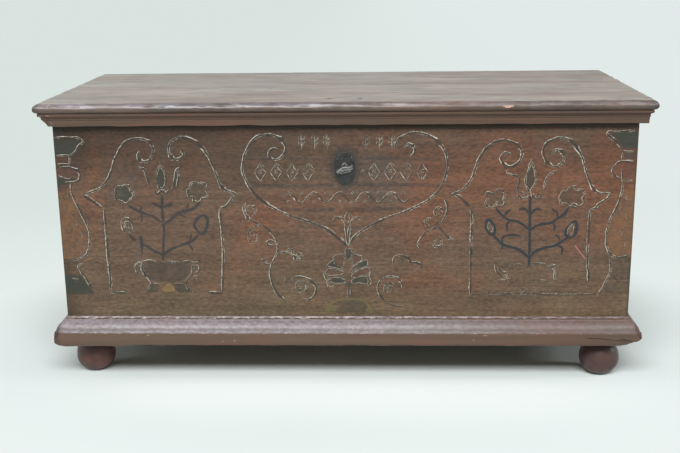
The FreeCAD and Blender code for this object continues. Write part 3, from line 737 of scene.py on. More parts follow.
def lid_material():
    """Lid paint, rubbed grey in long streaks, with a purple-brown rounded edge that carries a painted sheen
    on its upper faces.
    """
    made, wires = material("painted_lid")
    colours = paint()
    place = wires.place()
    x, y, _ = wires.split(place)
    flow = wires.join(x, y, 0.0)
    grain = wires.use("grain", Vector=flow)
    wide = wires.noise(flow, (1.6, 9, 1), 4.0, 0.6) + x.window(-0.2, 0.7, 0.06, 0.0)
    greyed = wide.window(0.38, 0.62) * grain["Streak"].swing(0.45, 1.0)
    top = wires.mix(greyed, colours.lid_brown, colours.lid_grey)
    nose = wires.mark("nose")
    red = wires.noise(flow, 9.0).window(0.45, 0.7, 0.0, 0.4)
    lumps = wires.noise(place, (30, 70, 70), 3.0, 0.6).window(0.38, 0.62, 0.35, 1.0)
    leftward = x.window(-0.3, 0.45, 0.64, 0.24)
    # The nose's upper faces carry a painted sheen, stronger on the left.
    edge = wires.layers(
        colours.nose_brown,
        (red, colours.moulding_red),
        (wires.mark("up").window(0.12, 0.6) * lumps * leftward, colours.painted_sheen),
        (abs(x).window(0.655, 0.683, 0.0, 0.85), colours.foot_dark),
    )
    base = wires.mix(nose.window(0.15, 0.6), top, edge)
    tint = grain["Fibre"].swing(-0.09, 0.08) + 1.0 + grain["Streak"].swing(-0.15, 0.1)
    tint = tint - wires.noise(flow, (2.6, 38, 1), 3.0, 0.6).window(0.58, 0.72, 0.0, 0.22)
    tint = tint + wires.noise(flow, (7, 26, 1), 4.0, 0.6, 1.2).window(0.34, 0.66, -0.2, 0.2)
    tint = tint + wires.noise(flow, (95, 150, 1), 3.0, 0.65).window(0.3, 0.7, -0.05, 0.05)
    tint = tint - y.window((LID_BACK - 30) * MM, LID_BACK * MM, 0.0, 0.2)
    run = wires.stretch(place, (0.5, 1, 1))
    flaked = wires.use("chips", Vector=run, Edge=wires.mark("edge"), Scale=90.0)["Mask"]
    base = wires.mix(flaked * 0.18, wires.tinted(base, tint), colours.moulding_pale)
    for spot_x, spot_y, radius in NAIL_STAINS:
        away = wires.away(flow, move=(-spot_x * MM, -spot_y * MM, 0))
        base = wires.mix(away.window(radius * MM * 0.4, radius * MM, 0.75, 0.0), base, NAIL_RUST)
    return finish_material(
        made,
        wires,
        Base_Color=base,
        Roughness=grain["Streak"].swing(0.42, 0.56) + nose * x.window(0.05, 0.4, -0.05, 0.12),
        Normal=wires.bump(grain["Fibre"] + wires.noise(place, 70.0) * 0.8, 0.35, 0.4),
        Coat_Weight=nose * lumps * leftward + x.window(0.05, 0.4, 0.15, 0.06),
        Coat_Roughness=0.3,
    )


def foot_material():
    """Maroon paint of the turned feet with darker clouds and turning rings, painted shade on their tops under
    the moulding, and darker on the right-hand feet.
    """
    made, wires = material("turned_feet")
    colours = paint()
    place = wires.place()
    x, _, z = wires.split(place)
    rings = wires.noise(place, (12, 12, 260))
    cloud = wires.noise(place, 26.0, 4.0).window(0.38, 0.66)
    # Painted shade on the tops of the feet under the moulding, and darker on the right-hand feet.
    painted_shade = z.window(0.046, 0.070, 0.0, 0.8).most(x.window(0.2, 0.6, 0.0, 0.5))
    base = wires.layers(colours.foot_maroon, (cloud * 0.5, colours.foot_dark), (painted_shade, colours.foot_dark))
    scuff = wires.noise(place, (60, 60, 160)).window(0.68, 0.76, 0.0, 0.5)
    base = wires.mix(scuff, wires.tinted(base, rings.window(0.3, 0.7, -0.1, 0.1) + 1.0), SCUFF)
    return finish_material(
        made,
        wires,
        Base_Color=base,
        Roughness=cloud.swing(0.42, 0.56),
        Normal=wires.bump(rings, 0.3, 0.3),
        Coat_Weight=0.06,
        Coat_Roughness=0.3,
    )


def iron_material(name, metallic, rusty):
    """Hammered iron: small facets, darker hollows, a little rust, and bright rubbed crests that are also a
    painted highlight.
    """
    made, wires = material(name)
    colours = paint()
    place = wires.place()
    cells = {"Vector": place, "Scale": 150.0}
    facet = wires.value("ShaderNodeTexVoronoi", cells, "Distance", feature="SMOOTH_F1")
    mottle = wires.noise(place, 90.0, 4.0)
    rust = wires.noise(place, 45.0, 5.0, 0.65).window(0.52, 0.72, 0.0, rusty)
    base = wires.mix(rust, colours.iron_dark, colours.iron_rust)
    # Bright where marked rubbed: rubbed iron and a painted highlight.
    bright = wires.mark("rubbed") * wires.noise(place, 420.0, 3.0, 0.65).window(0.3, 0.62, 0.25, 1.0)
    base = wires.tinted(base, mottle.window(0.3, 0.7, -0.25, 0.25) + 1.0)
    return finish_material(
        made,
        wires,
        Base_Color=wires.mix(bright, base, colours.iron_rubbed_highlight),
        Roughness=mottle.window(0.3, 0.7, 0.42, 0.66),
        Normal=wires.bump(facet + mottle * 0.5, 0.5, 0.8),
        Metallic=metallic,
    )


def line_material(name, chalk_strength, shade_strength):
    """Cut line: broken pale paint along its groove and a soft painted shadow, mostly on its lower right
    side, on the board's own paint.
    """
    made, wires = material(name)
    look = ornament()
    ground = front_paint(wires)
    place = wires.place()
    across = wires.mark("across")
    turned = wires.math("MINIMUM", wires.mark("lee") * 3.0, 1.0).most(-1.0)
    leeward = across * turned
    soft = wires.noise(place, 38.0, 4.0).window(0.3, 0.58, 0.45, 1.0)
    # Painted shadow of the groove, strongest on the side away from the upper left.
    dark = abs(across).window(0.35, 1.0, 1.0, 0.0) * leeward.window(-0.7, 0.0, 0.35, 1.0)
    dark = dark * (soft * shade_strength)
    waver = wires.noise(place, 60.0, 2.0).window(0.3, 0.7, -0.14, 0.14)
    long_gap = wires.noise(place, 15.0).window(0.38, 0.52, 0.3, 1.0)
    speck = wires.noise(place, 170.0, 3.0, 0.7).window(0.38, 0.62)
    cover = long_gap * (speck + 0.45 - wires.mark("worn"))
    middle = abs(leeward + 0.4 + waver).window(0.06, 0.23, 1.0, 0.0) * cover
    lip_gap = wires.noise(wires.stretch(place, (1, 1, 1), (4.0, 0, 7.0)), 19.0).window(0.44, 0.56, 0.0, 0.85)
    second = abs(leeward + waver - 0.48).window(0.05, 0.18, 1.0, 0.0) * (lip_gap * speck)
    base = wires.layers(ground["Color"], (dark, look.lee), (middle.most(second) * chalk_strength, look.chalk))
    return painted_front(made, wires, base, ground)


def fill_material(name, fill, strength, left=0.35, fade=0.86, marbled=False):
    """Painted fill worn through to the board along the grain: left is what stays of it where it is most
    worn, and it fades out towards its rim."""
    made, wires = material(name)
    ground = front_paint(wires)
    place = wires.place()
    grain = wires.use("grain", Vector=place)
    rim = wires.mark("rim").window(fade, 1.0, 1.0, 0.0)
    patch_share = wires.noise(place, 34.0, 5.0, 0.65).window(0.3, 0.6, left, 1.0)
    if marbled:
        veins = wires.noise(place, (75, 75, 60), 5.0, 0.65, 0.8).window(0.36, 0.68)
        fill = wires.mix(veins, fill, paint().board_brown)
    base = wires.mix(rim * patch_share * strength, ground["Color"], fill)
    return painted_front(made, wires, wires.tinted(base, grain["Fibre"].swing(-0.12, 0.12) + 1.0), ground)


def stroke_material(name, stroke, strength):
    """Thick brush stroke, soft at its sides and worn in patches."""
    made, wires = material(name)
    ground = front_paint(wires)
    rim = abs(wires.mark("across")).window(0.42, 1.0, 1.0, 0.0)
    worn = wires.noise(wires.place(), 55.0, 4.0) - wires.mark("worn") * 0.3
    cover = worn.window(0.12, 0.42, 0.3, 1.0) * strength
    return painted_front(made, wires, wires.mix(rim * cover, ground["Color"], stroke), ground)


def scar_material(name, shade_of):
    """Bare wood in a crack, chip or splinter, streaked along the moulding."""
    made, wires = material(name)
    streak = wires.noise(wires.place(), (60, 260, 420))
    base = wires.tinted(shade_of, streak.window(0.3, 0.7, 0.6, 1.2))
    rough = streak.window(0.3, 0.7, 0.6, 0.8)
    return finish_material(made, wires, Base_Color=base, Roughness=rough, Specular_IOR_Level=0.3)


def seen_ray(wires):
    """1 for the rays that look at the background: the camera's, mirror and glass rays."""
    path = wires.node("ShaderNodeLightPath").outputs
    camera, glossy, glass = (
        Value(wires, path[f"Is {kind} Ray"]) for kind in ("Camera", "Glossy", "Transmission")
    )
    return camera.most(glossy).most(glass)


def floor_material():
    """Pale matt floor, painted lighter close in front of the chest as painted light, that turns into the
    backdrop's own glow far from the chest.
    """
    stage = bpy.context.scene.chest_stage
    made, wires = material("floor")
    place = wires.place()
    x, y, _ = wires.split(place)
    # Painted light: the floor close in front of the chest is made lighter.
    lit_patch = y.window(-0.22, -0.33) * y.window(-0.6, -0.35) * abs(x).window(0.35, 0.95, 1.0, 0.0)
    base = wires.mix(lit_patch, stage.floor, stage.floor_painted_light)
    base = wires.tinted(base, wires.noise(place, 1.2, 2.0).window(0.3, 0.7, 0.985, 1.015))
    near = principled(wires, Base_Color=base, Roughness=0.7, Specular_IOR_Level=0.2)
    away = wires.away(place, (1.0, 1.25, 1.0))
    onward = y + x.window(0.0, 1.0, 0.0, 0.3)
    ahead = onward.window(-0.7, 1.8, 1.0, 0.0) * away.window(1.4, 4.0, 1.0, 0.0)
    backdrop = wires.mix(x.window(-1.6, 1.6), stage.backdrop, stage.backdrop_light)
    distant = wires.mix(ahead, backdrop, stage.floor_glow)
    far = wires.value("ShaderNodeEmission", {"Color": distant, "Strength": 1.0})
    both = wires.value("ShaderNodeMixShader", {0: away.window(0.62, 1.15) * seen_ray(wires), 1: near, 2: far})
    wires.node("ShaderNodeOutputMaterial", {0: both})
    return made


# ---------------------------------------------------------------- ornament drawing, in millimetres (x, z)


def oval(x, z, wide, high, lean=0.0, pointed=0.0):
    """Closed ring: an ellipse that narrows towards its top by pointed and leans to one side."""
    turn = np.linspace(0, 2 * np.pi, 13)[:-1]
    rise = np.sin(turn)
    narrow = 1 - pointed * np.clip(rise, 0, 1) ** 1.5
    return list(zip(x + wide * np.cos(turn) * narrow + lean * rise, z + high * rise))


def rosette(x, z, radius, petals, phase=0.0):
    """Closed flower outline: the radius is round over each petal and sharp between two."""
    turn = np.linspace(0, 2 * np.pi, petals * 6 + 1)[:-1]
    reach = radius * (0.66 + 0.34 * np.sqrt(np.abs(np.cos(petals * turn / 2 + phase))))
    return list(zip(x + reach * np.cos(turn), z + reach * np.sin(turn)))


def volute(x, z, radius, start, turns):
    """Spiral that closes on its centre: the radius falls evenly with the angle."""
    turn = np.linspace(0, 1, int(9 * turns) + 3)
    angle = math.radians(start) + 2 * np.pi * turns * turn
    reach = radius * (1 - 0.82 * turn)
    return list(zip(x + reach * np.cos(angle), z + reach * np.sin(angle)))


def lozenge(x, z, wide, high):
    """Four straight strokes round a diamond."""
    return [
        [(x - wide, z), (x, z + high)],
        [(x, z + high), (x + wide, z)],
        [(x + wide, z), (x, z - high)],
        [(x, z - high), (x - wide, z)],
    ]


def squiggle(x, z, high):
    """Small upright S."""
    return [(x - 2, z - high), (x + 2.5, z - 0.4 * high), (x - 2, z + 0.3 * high), (x + 1, z + high)]


def leaf_sprig(x, z, high):
    """Upright stalk with two pairs of small leaves."""
    stalk = [(x, z - high), (x + 0.5, z), (x, z + high)]
    pairs = []
    for up in (-0.35, 0.25):
        foot = z + up * high
        pairs += [
            [(x, foot), (x - 0.32 * high, foot + 0.2 * high), (x - 0.42 * high, foot + 0.55 * high)],
            [(x, foot), (x + 0.32 * high, foot + 0.2 * high), (x + 0.42 * high, foot + 0.55 * high)],
        ]
    return [stalk] + pairs


LEFT_ARCH = [
    [(-594, 444), (-554, 460), (-531, 488), (-515, 528), (-492, 563), (-466, 573), (-437, 567),
     (-427, 547), (-435, 527), (-450, 520), (-463, 532), (-458, 545)],
    [(-241, 445), (-275, 461), (-293, 507), (-312, 546), (-335, 569), (-365, 576), (-389, 562),
     (-391, 538), (-376, 525), (-359, 535), (-365, 547)],
    [(-594, 444), (-572, 428), (-553, 414)],
    [(-549, 413), (-547, 361), (-547, 309), (-545, 240), (-547, 211)],
    [(-246, 445), (-266, 419), (-283, 412)],
    [(-283, 411), (-280, 360), (-279, 298), (-285, 214)],
    [(-548, 211), (-530, 210), (-512, 211)],
    [(-318, 211), (-300, 210), (-284, 211)],
]
LEFT_FLOWERS = [
    [(-464, 508), (-451, 503), (-446, 486), (-440, 462)],
    [(-368, 508), (-379, 498), (-382, 480), (-389, 457)],
    [(-379, 505), (-372, 490), (-379, 460)],
    [(-430, 455), (-422, 447), (-413, 455), (-404, 448), (-396, 455)],
    [(-413, 521), (-412, 512)],
]
LEFT_STEMS = [
    [(-412, 443), (-414, 411), (-413, 380), (-413, 353), (-416, 325), (-418, 288)],
    [(-434, 423), (-424, 418), (-413, 415), (-399, 419), (-389, 421)],
    [(-418, 380), (-435, 392), (-452, 399), (-471, 407), (-491, 418)],
    [(-411, 375), (-396, 385), (-380, 399), (-365, 405), (-345, 410), (-333, 419), (-326, 430)],
    [(-419, 302), (-434, 309), (-448, 318), (-463, 327)],
    [(-480, 336), (-489, 343), (-495, 356)],
    [(-415, 304), (-396, 316), (-379, 323), (-365, 328), (-348, 335), (-331, 351)],
]
LEFT_TWIGS = [
    [(-380, 399), (-369, 395), (-359, 390)],
    [(-355, 409), (-356, 417), (-352, 424)],
    [(-465, 404), (-462, 418)],
    [(-463, 401), (-462, 390), (-463, 380)],
    [(-468, 348), (-466, 335), (-465, 322), (-468, 301)],
    [(-359, 328), (-352, 320), (-348, 311)],
    [(-355, 330), (-352, 342), (-350, 352)],
]
LEFT_BLOTS = [
    [(-392, 392), (-374, 402), (-352, 407)],
    [(-364, 327), (-350, 334)],
    [(-424, 300), (-410, 304)],
    [(-414, 368), (-412, 388)],
    [(-467, 346), (-466, 316)],
]
LEFT_BUD = [
    (-329, 352), (-340, 366), (-341, 378), (-331, 390), (-319, 395), (-311, 385), (-314, 366), (-321, 354),
]
LEFT_LEAF = [(-378, 505), (-370, 490), (-378, 458), (-386, 458), (-381, 485)]
LEFT_URN = [
    [(-469, 285), (-452, 288), (-435, 285)],
    [(-411, 286), (-395, 285), (-381, 285)],
    [(-374, 285), (-357, 286), (-348, 281)],
    [(-468, 283), (-470, 269), (-465, 257), (-457, 248), (-449, 234)],
    [(-351, 280), (-352, 259), (-359, 248), (-370, 236)],
    [(-469, 283), (-477, 282), (-484, 273), (-481, 261), (-474, 257)],
    [(-351, 281), (-341, 283), (-335, 273), (-338, 262), (-345, 259)],
    [(-355, 276), (-346, 273), (-349, 262)],
    [(-351, 248), (-344, 250), (-341, 243)],
    [(-448, 232), (-431, 231)],
    [(-397, 231), (-377, 231), (-370, 236)],
    [(-449, 234), (-455, 224), (-467, 210)],
    [(-370, 234), (-364, 220), (-353, 210)],
]
LEFT_URN_BOWL = [
    (-464, 284), (-410, 284), (-355, 282), (-354, 262), (-362, 248), (-374, 238), (-410, 235), (-446, 237),
    (-459, 254), (-467, 268),
]
LEFT_URN_FOOT = [
    [(-447, 231), (-430, 229), (-431, 218), (-440, 212), (-462, 211)],
    [(-396, 229), (-374, 231), (-359, 212), (-378, 210), (-390, 214)],
]
LEFT_URN_ARCH = [(-427, 215), (-418, 227), (-409, 234), (-401, 230), (-393, 215), (-410, 212)]
HEART = [
    [(-146, 548), (-160, 548), (-168, 535), (-160, 525), (-147, 524), (-134, 535), (-129, 553),
     (-141, 572), (-163, 580), (-188, 577), (-208, 561), (-222, 532), (-228, 502), (-219, 472),
     (-198, 442), (-170, 418), (-129, 397), (-86, 382), (-46, 366), (-14, 341), (9, 321)],
    [(116, 546), (118, 560), (129, 574), (156, 583), (188, 578), (216, 557), (231, 524), (230, 489),
     (215, 454), (186, 427), (143, 405), (89, 385), (43, 360), (22, 342), (9, 321)],
    [(135, 550), (146, 558), (158, 550), (158, 537), (149, 530)],
]
HEART_RULES = [
    [(-214, 525), (-120, 526), (-25, 523)],
    [(30, 527), (110, 524), (216, 522)],
    [(-212, 466), (-110, 463), (-22, 465)],
    [(30, 464), (120, 466), (217, 463)],
    [(-168, 410), (-80, 407), (-20, 409)],
    [(20, 408), (100, 410), (150, 408)],
]
SPRIGS = (-92, -62, -36, 52, 82, 110)
LOZENGES = (-186, -150, -114, -78, 70, 106, 142, 178)
SPRIG_ROW = 562
LOZENGE_ROW = 495
WAVE_ROW = 436
WAVE_LEFT = -140
WAVE_RIGHT = 150
CENTRE_STALK = [
    [(2, 372), (4, 354), (6, 336), (8, 321)],
    [(13, 372), (10, 358), (8, 345)],
    [(17, 372), (15, 350), (13, 328)],
    [(3, 372), (-5, 387), (-18, 391), (-26, 381)],
    [(14, 372), (22, 388), (33, 391), (39, 382)],
    [(8, 405), (8, 398)],
    [(8, 221), (7, 200)],
    [(14, 221), (14, 197)],
    [(-44, 261), (-47, 256), (-44, 248), (-38, 240), (-40, 233), (-35, 223), (-26, 228)],
    [(56, 269), (61, 260), (59, 248), (63, 239), (60, 229), (51, 225)],
]
GREEN_PETALS = [
    [(2, 301), (3, 312), (8, 316), (16, 314), (19, 306), (17, 298), (12, 290), (7, 292)],
    [(-5, 266), (-21, 280), (-26, 287), (-34, 281), (-40, 276), (-34, 272), (-18, 269)],
    [(-35, 240), (-24, 246), (-10, 245), (2, 239), (-1, 233), (-20, 232), (-33, 236)],
    [(14, 257), (25, 266), (40, 269), (52, 274), (55, 281), (52, 287), (37, 284), (17, 269)],
    [(16, 239), (31, 248), (46, 249), (54, 245), (54, 231), (46, 231), (31, 233), (21, 231)],
]
WINE_PETALS = [
    [(-5, 268), (-18, 281), (-26, 292), (-21, 300), (-12, 303), (-2, 300), (1, 290)],
    [(-39, 265), (-30, 268), (-13, 264), (-1, 257), (-13, 252), (-33, 251), (-42, 254)],
    [(20, 275), (31, 283), (41, 287), (41, 295), (34, 299), (23, 303), (18, 294)],
    [(16, 251), (25, 260), (43, 269), (56, 269), (60, 262), (53, 251), (43, 252), (24, 246)],
]
PETAL_HUB = [(6, 231), (12, 222), (18, 229), (12, 238)]
MOUND = [(-45, 162), (-42, 174), (-28, 185), (-9, 193), (13, 194), (36, 193), (51, 183), (60, 171), (67, 162)]
MOUND_FEET = [
    [(-42, 162), (-38, 176), (-24, 180), (-18, 170), (-24, 162)],
    [(48, 162), (54, 176), (62, 172), (67, 162)],
]
LEFT_VINE = [
    [(-216, 400), (-222, 409), (-214, 417), (-203, 412), (-202, 400), (-212, 390)],
    [(-222, 424), (-228, 412), (-220, 390), (-204, 381), (-195, 374), (-206, 367), (-218, 358),
     (-221, 344)],
    [(-195, 374), (-186, 370)],
    [(-221, 344), (-212, 331), (-200, 335), (-200, 347), (-209, 346)],
    [(-183, 370), (-166, 354), (-155, 332), (-153, 310), (-164, 286), (-172, 262), (-171, 244),
     (-163, 219), (-150, 201), (-137, 192)],
    [(-153, 304), (-138, 308), (-121, 303), (-108, 297), (-93, 298)],
    [(-112, 299), (-104, 306), (-96, 303)],
    [(-133, 308), (-126, 316), (-118, 311), (-123, 304)],
    [(-118, 302), (-112, 291), (-103, 290), (-100, 297)],
    [(-186, 283), (-176, 279), (-166, 283)],
    [(-192, 289), (-184, 292), (-178, 284)],
    [(-157, 331), (-168, 336), (-178, 330), (-170, 324), (-158, 326)],
    [(-205, 360), (-212, 352), (-204, 346)],
    [(-134, 252), (-137, 244), (-128, 236)],
]
LEFT_VOLUTE = [
    [(-132, 245), (-124, 238), (-116, 247), (-98, 248), (-80, 240), (-67, 224), (-70, 205), (-84, 193),
     (-98, 196)],
]
RIGHT_VINE = [
    [(227, 431), (233, 418), (232, 400), (226, 384), (213, 370)],
    [(226, 400), (216, 412), (205, 404), (209, 394), (217, 399)],
    [(213, 366), (196, 361), (180, 348), (168, 327), (172, 318)],
    [(216, 366), (228, 352), (240, 340), (252, 338)],
    [(196, 361), (184, 378), (190, 388), (199, 382)],
    [(184, 372), (176, 380)],
    [(214, 336), (204, 330), (208, 320), (220, 322), (222, 334), (212, 343)],
]
RIGHT_SCROLLS = [
    [(112, 279), (113, 293), (126, 300), (144, 295), (153, 284), (165, 283), (176, 274), (170, 266)],
    [(128, 294), (134, 286), (128, 280)],
    [(92, 192), (80, 205), (76, 224), (84, 241), (100, 249), (118, 247), (130, 236), (133, 219)],
    [(98, 186), (116, 178), (136, 177)],
]
RIGHT_ARCH = [
    [(243, 443), (268, 454), (288, 482), (300, 518), (316, 545), (337, 561), (360, 565), (384, 556),
     (397, 538), (393, 519), (375, 505), (358, 511), (350, 525), (359, 537), (374, 533)],
    [(463, 531), (472, 544), (485, 538), (490, 520), (473, 505), (452, 516), (443, 538), (451, 558),
     (473, 569), (499, 566), (517, 548), (532, 520), (543, 485), (557, 455), (576, 444), (597, 444)],
    [(243, 443), (256, 439), (270, 428), (284, 414)],
    [(286, 411), (289, 378), (288, 318), (288, 257), (289, 205)],
    [(595, 444), (590, 432), (572, 420), (565, 410), (553, 407)],
    [(553, 407), (552, 347), (553, 288), (558, 235)],
]
RIGHT_SILL = [
    [(289, 206), (400, 208), (500, 205), (582, 207)],
    [(289, 205), (288, 180)],
    [(546, 206), (582, 207)],
]
RIGHT_FLOWERS = [
    [(364, 491), (376, 486), (386, 485), (393, 473), (389, 458), (391, 443)],
    [(477, 497), (463, 489), (453, 479), (449, 462), (448, 447)],
    [(358, 505), (366, 496), (364, 489)],
    [(390, 443), (398, 434), (409, 434), (416, 439)],
    [(396, 447), (404, 445), (416, 439)],
    [(419, 449), (423, 440), (432, 432), (442, 436), (435, 445)],
    [(419, 524), (418, 514)],
    [(338, 428), (343, 423), (352, 426)],
    [(507, 414), (518, 412), (524, 407)],
]
RIGHT_TULIP = [(417, 515), (413, 498), (407, 477), (408, 464), (417, 449), (425, 460), (430, 475), (425, 500)]
RIGHT_BLOOMS = [
    [(320, 443), (325, 447), (337, 444), (344, 452), (354, 453), (362, 443), (359, 432), (361, 418),
     (349, 415), (341, 419), (336, 411), (326, 413), (319, 421), (323, 431)],
    [(488, 420), (484, 434), (490, 447), (500, 448), (505, 458), (517, 459), (521, 451), (532, 452),
     (540, 441), (535, 431), (539, 422), (527, 414), (516, 420), (508, 413), (497, 421)],
]
RIGHT_STEMS = [
    [(419, 438), (419, 415), (420, 371), (421, 327), (421, 299), (422, 273)],
    [(394, 405), (403, 409), (412, 404), (419, 394)],
    [(446, 405), (436, 408), (427, 403), (420, 392)],
    [(420, 359), (402, 373), (388, 380), (373, 382), (360, 391), (343, 409)],
    [(421, 357), (434, 368), (451, 373), (467, 375), (481, 385), (496, 395), (506, 412)],
    [(421, 293), (404, 308), (389, 316), (364, 323), (349, 336), (336, 350)],
    [(422, 293), (434, 308), (453, 316), (478, 322), (490, 329), (506, 341)],
]
RIGHT_TWIGS = [
    [(362, 388), (367, 400), (377, 407)],
    [(377, 381), (369, 373), (370, 356)],
    [(482, 387), (480, 399), (467, 410)],
    [(469, 375), (476, 369), (476, 356)],
    [(360, 328), (359, 339), (365, 345), (382, 347), (401, 344)],
    [(361, 326), (359, 312)],
    [(490, 331), (485, 343), (476, 347)],
    [(482, 323), (495, 316), (494, 300)],
]
RIGHT_BUDS = [
    [(326, 384), (322, 373), (323, 362), (330, 351), (338, 348), (342, 356), (341, 367), (334, 377)],
    [(522, 380), (525, 366), (523, 349), (516, 341), (507, 342), (501, 350), (504, 363), (513, 372)],
]
RIGHT_BUD_HEARTS = [
    [(328, 376), (326, 367), (332, 355), (338, 357), (336, 367)],
    [(517, 372), (520, 360), (515, 348), (507, 350), (506, 358), (510, 367)],
]
RIGHT_URN = [
    [(383, 278), (395, 278), (404, 277)],
    [(349, 277), (357, 263), (368, 257), (375, 243), (384, 232)],
    [(343, 279), (347, 264), (357, 252), (367, 244)],
    [(380, 279), (374, 265), (372, 252)],
    [(352, 240), (362, 240), (369, 242)],
    [(446, 240), (462, 239)],
]
RIGHT_URN_BRIGHT = [
    [(429, 280), (446, 280), (458, 279)],
    [(461, 275), (471, 274), (479, 265), (480, 252), (480, 239)],
    [(469, 279), (480, 273), (486, 262)],
    [(405, 221), (412, 213), (420, 206)],
    [(420, 220), (411, 212), (404, 206)],
]
LEFT_BALUSTER = [
    [(-650, 576), (-627, 577), (-600, 576), (-587, 573)],
    [(-587, 573), (-585, 565), (-596, 557), (-605, 543), (-617, 536)],
    [(-648, 535), (-618, 536)],
    [(-618, 536), (-619, 516)],
    [(-647, 515), (-619, 516)],
    [(-643, 508), (-622, 509), (-603, 501), (-598, 489), (-605, 476), (-633, 473)],
    [(-648, 489), (-629, 481), (-618, 483)],
    [(-620, 472), (-620, 447), (-610, 420), (-596, 386), (-586, 352), (-590, 318), (-602, 298),
     (-622, 291), (-636, 291)],
    [(-606, 281), (-618, 275), (-613, 261), (-606, 252), (-596, 232), (-586, 222)],
    [(-634, 245), (-620, 243)],
]
RIGHT_BALUSTER = [
    [(643, 584), (614, 583), (589, 584), (583, 577), (592, 569), (606, 558), (614, 542)],
    [(614, 539), (643, 538)],
    [(618, 536), (618, 518)],
    [(618, 517), (644, 517)],
    [(644, 514), (621, 517), (606, 510), (598, 497), (604, 483), (615, 478)],
    [(618, 499), (621, 470)],
    [(618, 472), (644, 472)],
    [(622, 470), (621, 443), (611, 410), (597, 377), (592, 344), (596, 316), (609, 298), (631, 295),
     (646, 301)],
    [(604, 294), (605, 260), (592, 226), (579, 200)],
    [(603, 260), (629, 232)],
]
SQUIGGLES = [
    squiggle(x, z, high)
    for x, z, high in (
        (-640, 437, 8), (-628, 441, 7), (-634, 417, 7), (-622, 400, 9), (-612, 372, 8), (-627, 364, 8),
        (-604, 350, 9), (-616, 335, 7), (-600, 322, 7), (-624, 318, 8), (-611, 308, 6),
        (634, 430, 8), (622, 404, 8), (637, 388, 9), (609, 360, 8), (626, 352, 8), (612, 330, 7),
        (636, 322, 8),
    )
]

# Fills between the front's upright edges and an outline of (height, x): name, look, how much each further
# outline lies over the one before, and the outlines.
BALUSTER_FILLS = (
    ("baluster_caps", "cap_fill", 0.0, [
        [(575, -587), (565, -586), (557, -597), (543, -606), (536, -617)],
        [(487, -600), (478, -606), (473, -618), (464, -622)],
        [(256, -608), (244, -603), (232, -596), (218, -584), (202, -578)],
        [(583, 590), (575, 586), (558, 606), (542, 614)],
    ]),
    ("baluster_base", "mound_fill", 0.03, [
        [(292, 606), (260, 606), (248, 604)],
        [(252, 604), (226, 593), (206, 584)],
        [(240, 600), (226, 593), (206, 584)],
    ]),
    ("baluster_rings", "wine_fill", 0.0, [
        [(534, -619), (516, -620)],
        [(508, -622), (501, -604), (489, -600), (487, -601)],
        [(515, 621), (510, 607), (497, 600), (483, 606), (478, 616)],
    ]),
    ("baluster_neck", "urn_fill", 0.0, [[(538, 617), (528, 618), (518, 618)]]),
    ("baluster_bellies", "amber_fill", 0.0, [
        [(455, -621), (420, -611), (386, -597), (352, -587), (318, -591), (299, -603), (291, -620)],
        [(455, 622), (410, 612), (377, 598), (344, 593), (316, 597), (299, 609), (294, 622)],
    ]),
)
BASE_CRACKS = [[(554, 109), (585, 108), (612, 105), (646, 102)], [(630, 108), (645, 105), (664, 100)]]
BASE_SPECKS = [
    [(-286, 99), (-282, 101)],
    [(-258, 103), (-254, 101)],
    [(-461, 115), (-455, 115)],
    [(295, 103), (298, 105)],
    [(318, 115), (328, 115)],
    [(482, 90), (486, 89)],
]
LID_CRACK = [[(-647, 655.5), (-649, 650), (-652, 645)]]
LID_CHIPS = [[(349, 645), (360, 644.5), (372, 645)], [(353, 642.5), (360, 642), (366, 642.5)]]
LID_SPLINTERS = [
    [(-664, 634), (-657, 631), (-647, 626)],
    [(-650, 614), (-646, 610)],
    [(-672, 629), (-664, 626)],
]
SCRATCH = [[(523, 323), (538, 303), (553, 286)]]

# Spacing of the points along a line, and how deep the back of each strip lies in the board, in millimetres.
STEP = 3.6
SUNK = 0.3
STROKE_RIDGE = [(-1.0, 0.02), (-0.6, 0.18), (0.0, 0.24), (0.6, 0.18), (1.0, 0.02)]
STROKE_SECTION = STROKE_RIDGE + [(1.0, -SUNK), (-1.0, -SUNK)]


def cut_section():
    """Two low lips with a groove between them; the back of the strip lies inside the board."""
    lip = ornament().line_lip / MM
    right = [(0.34, lip), (0.6, 0.8 * lip), (1.0, 0.02)]
    left = [(-share, height) for share, height in reversed(right)]
    return left + [(0.0, 0.5 * lip)] + right + [(1.0, -SUNK), (-1.0, -SUNK)]


def profile_reach(outline, z):
    """How far an outline of (projection, height, wear) stands out from the case's front at each height."""
    reach, height, _ = outline[np.argsort(outline[:, 1], kind="stable")].T
    return np.interp(z, height, reach)


def line_strip(points, half_width, section, worn, closed=False, ends=0.35, outline=None):
    """Carved line: a closed section of (share of the half width, height in mm) carried along the smooth
    curve on the front board, or on a moulding with the given outline. The width swells from its tapered
    ends and wavers a little."""
    path, run = smooth_line(points, STEP if len(points) > 2 else 2 * STEP, closed)
    ahead = np.gradient(path, axis=0)
    ahead /= np.hypot(*ahead.T)[:, None] + 1e-9
    if closed:
        ahead[0] = ahead[-1] = (ahead[0] + ahead[-1]) / 2
    side_x, side_z = -ahead[:, 1:], ahead[:, :1]
    taper = 1.0 if closed else ends + (1 - ends) * np.clip(np.minimum(run, run[-1] - run) / 9.0, 0, 1)
    waver = 1 + 0.16 * waviness(wear().seed + 3, 24.0, path[:, 0], path[:, 1])
    width = (half_width * taper * waver)[:, None]
    share, height = np.array(section).T
    x = path[:, :1] + side_x * width * share
    z = path[:, 1:] + side_z * width * share
    y = np.broadcast_to(FRONT - height, x.shape)
    if outline is not None:
        y = y - profile_reach(outline, z) + 0.25
    # The direction mark tells the material which side of the line takes the painted shadow.
    marks = {"across": share, "lee": (side_x - side_z) / math.sqrt(2), "worn": worn}
    return tube_shell(np.stack([x, y, z], -1), marks, closed=closed)


def fill_rise():
    return ornament().fill_rise / MM


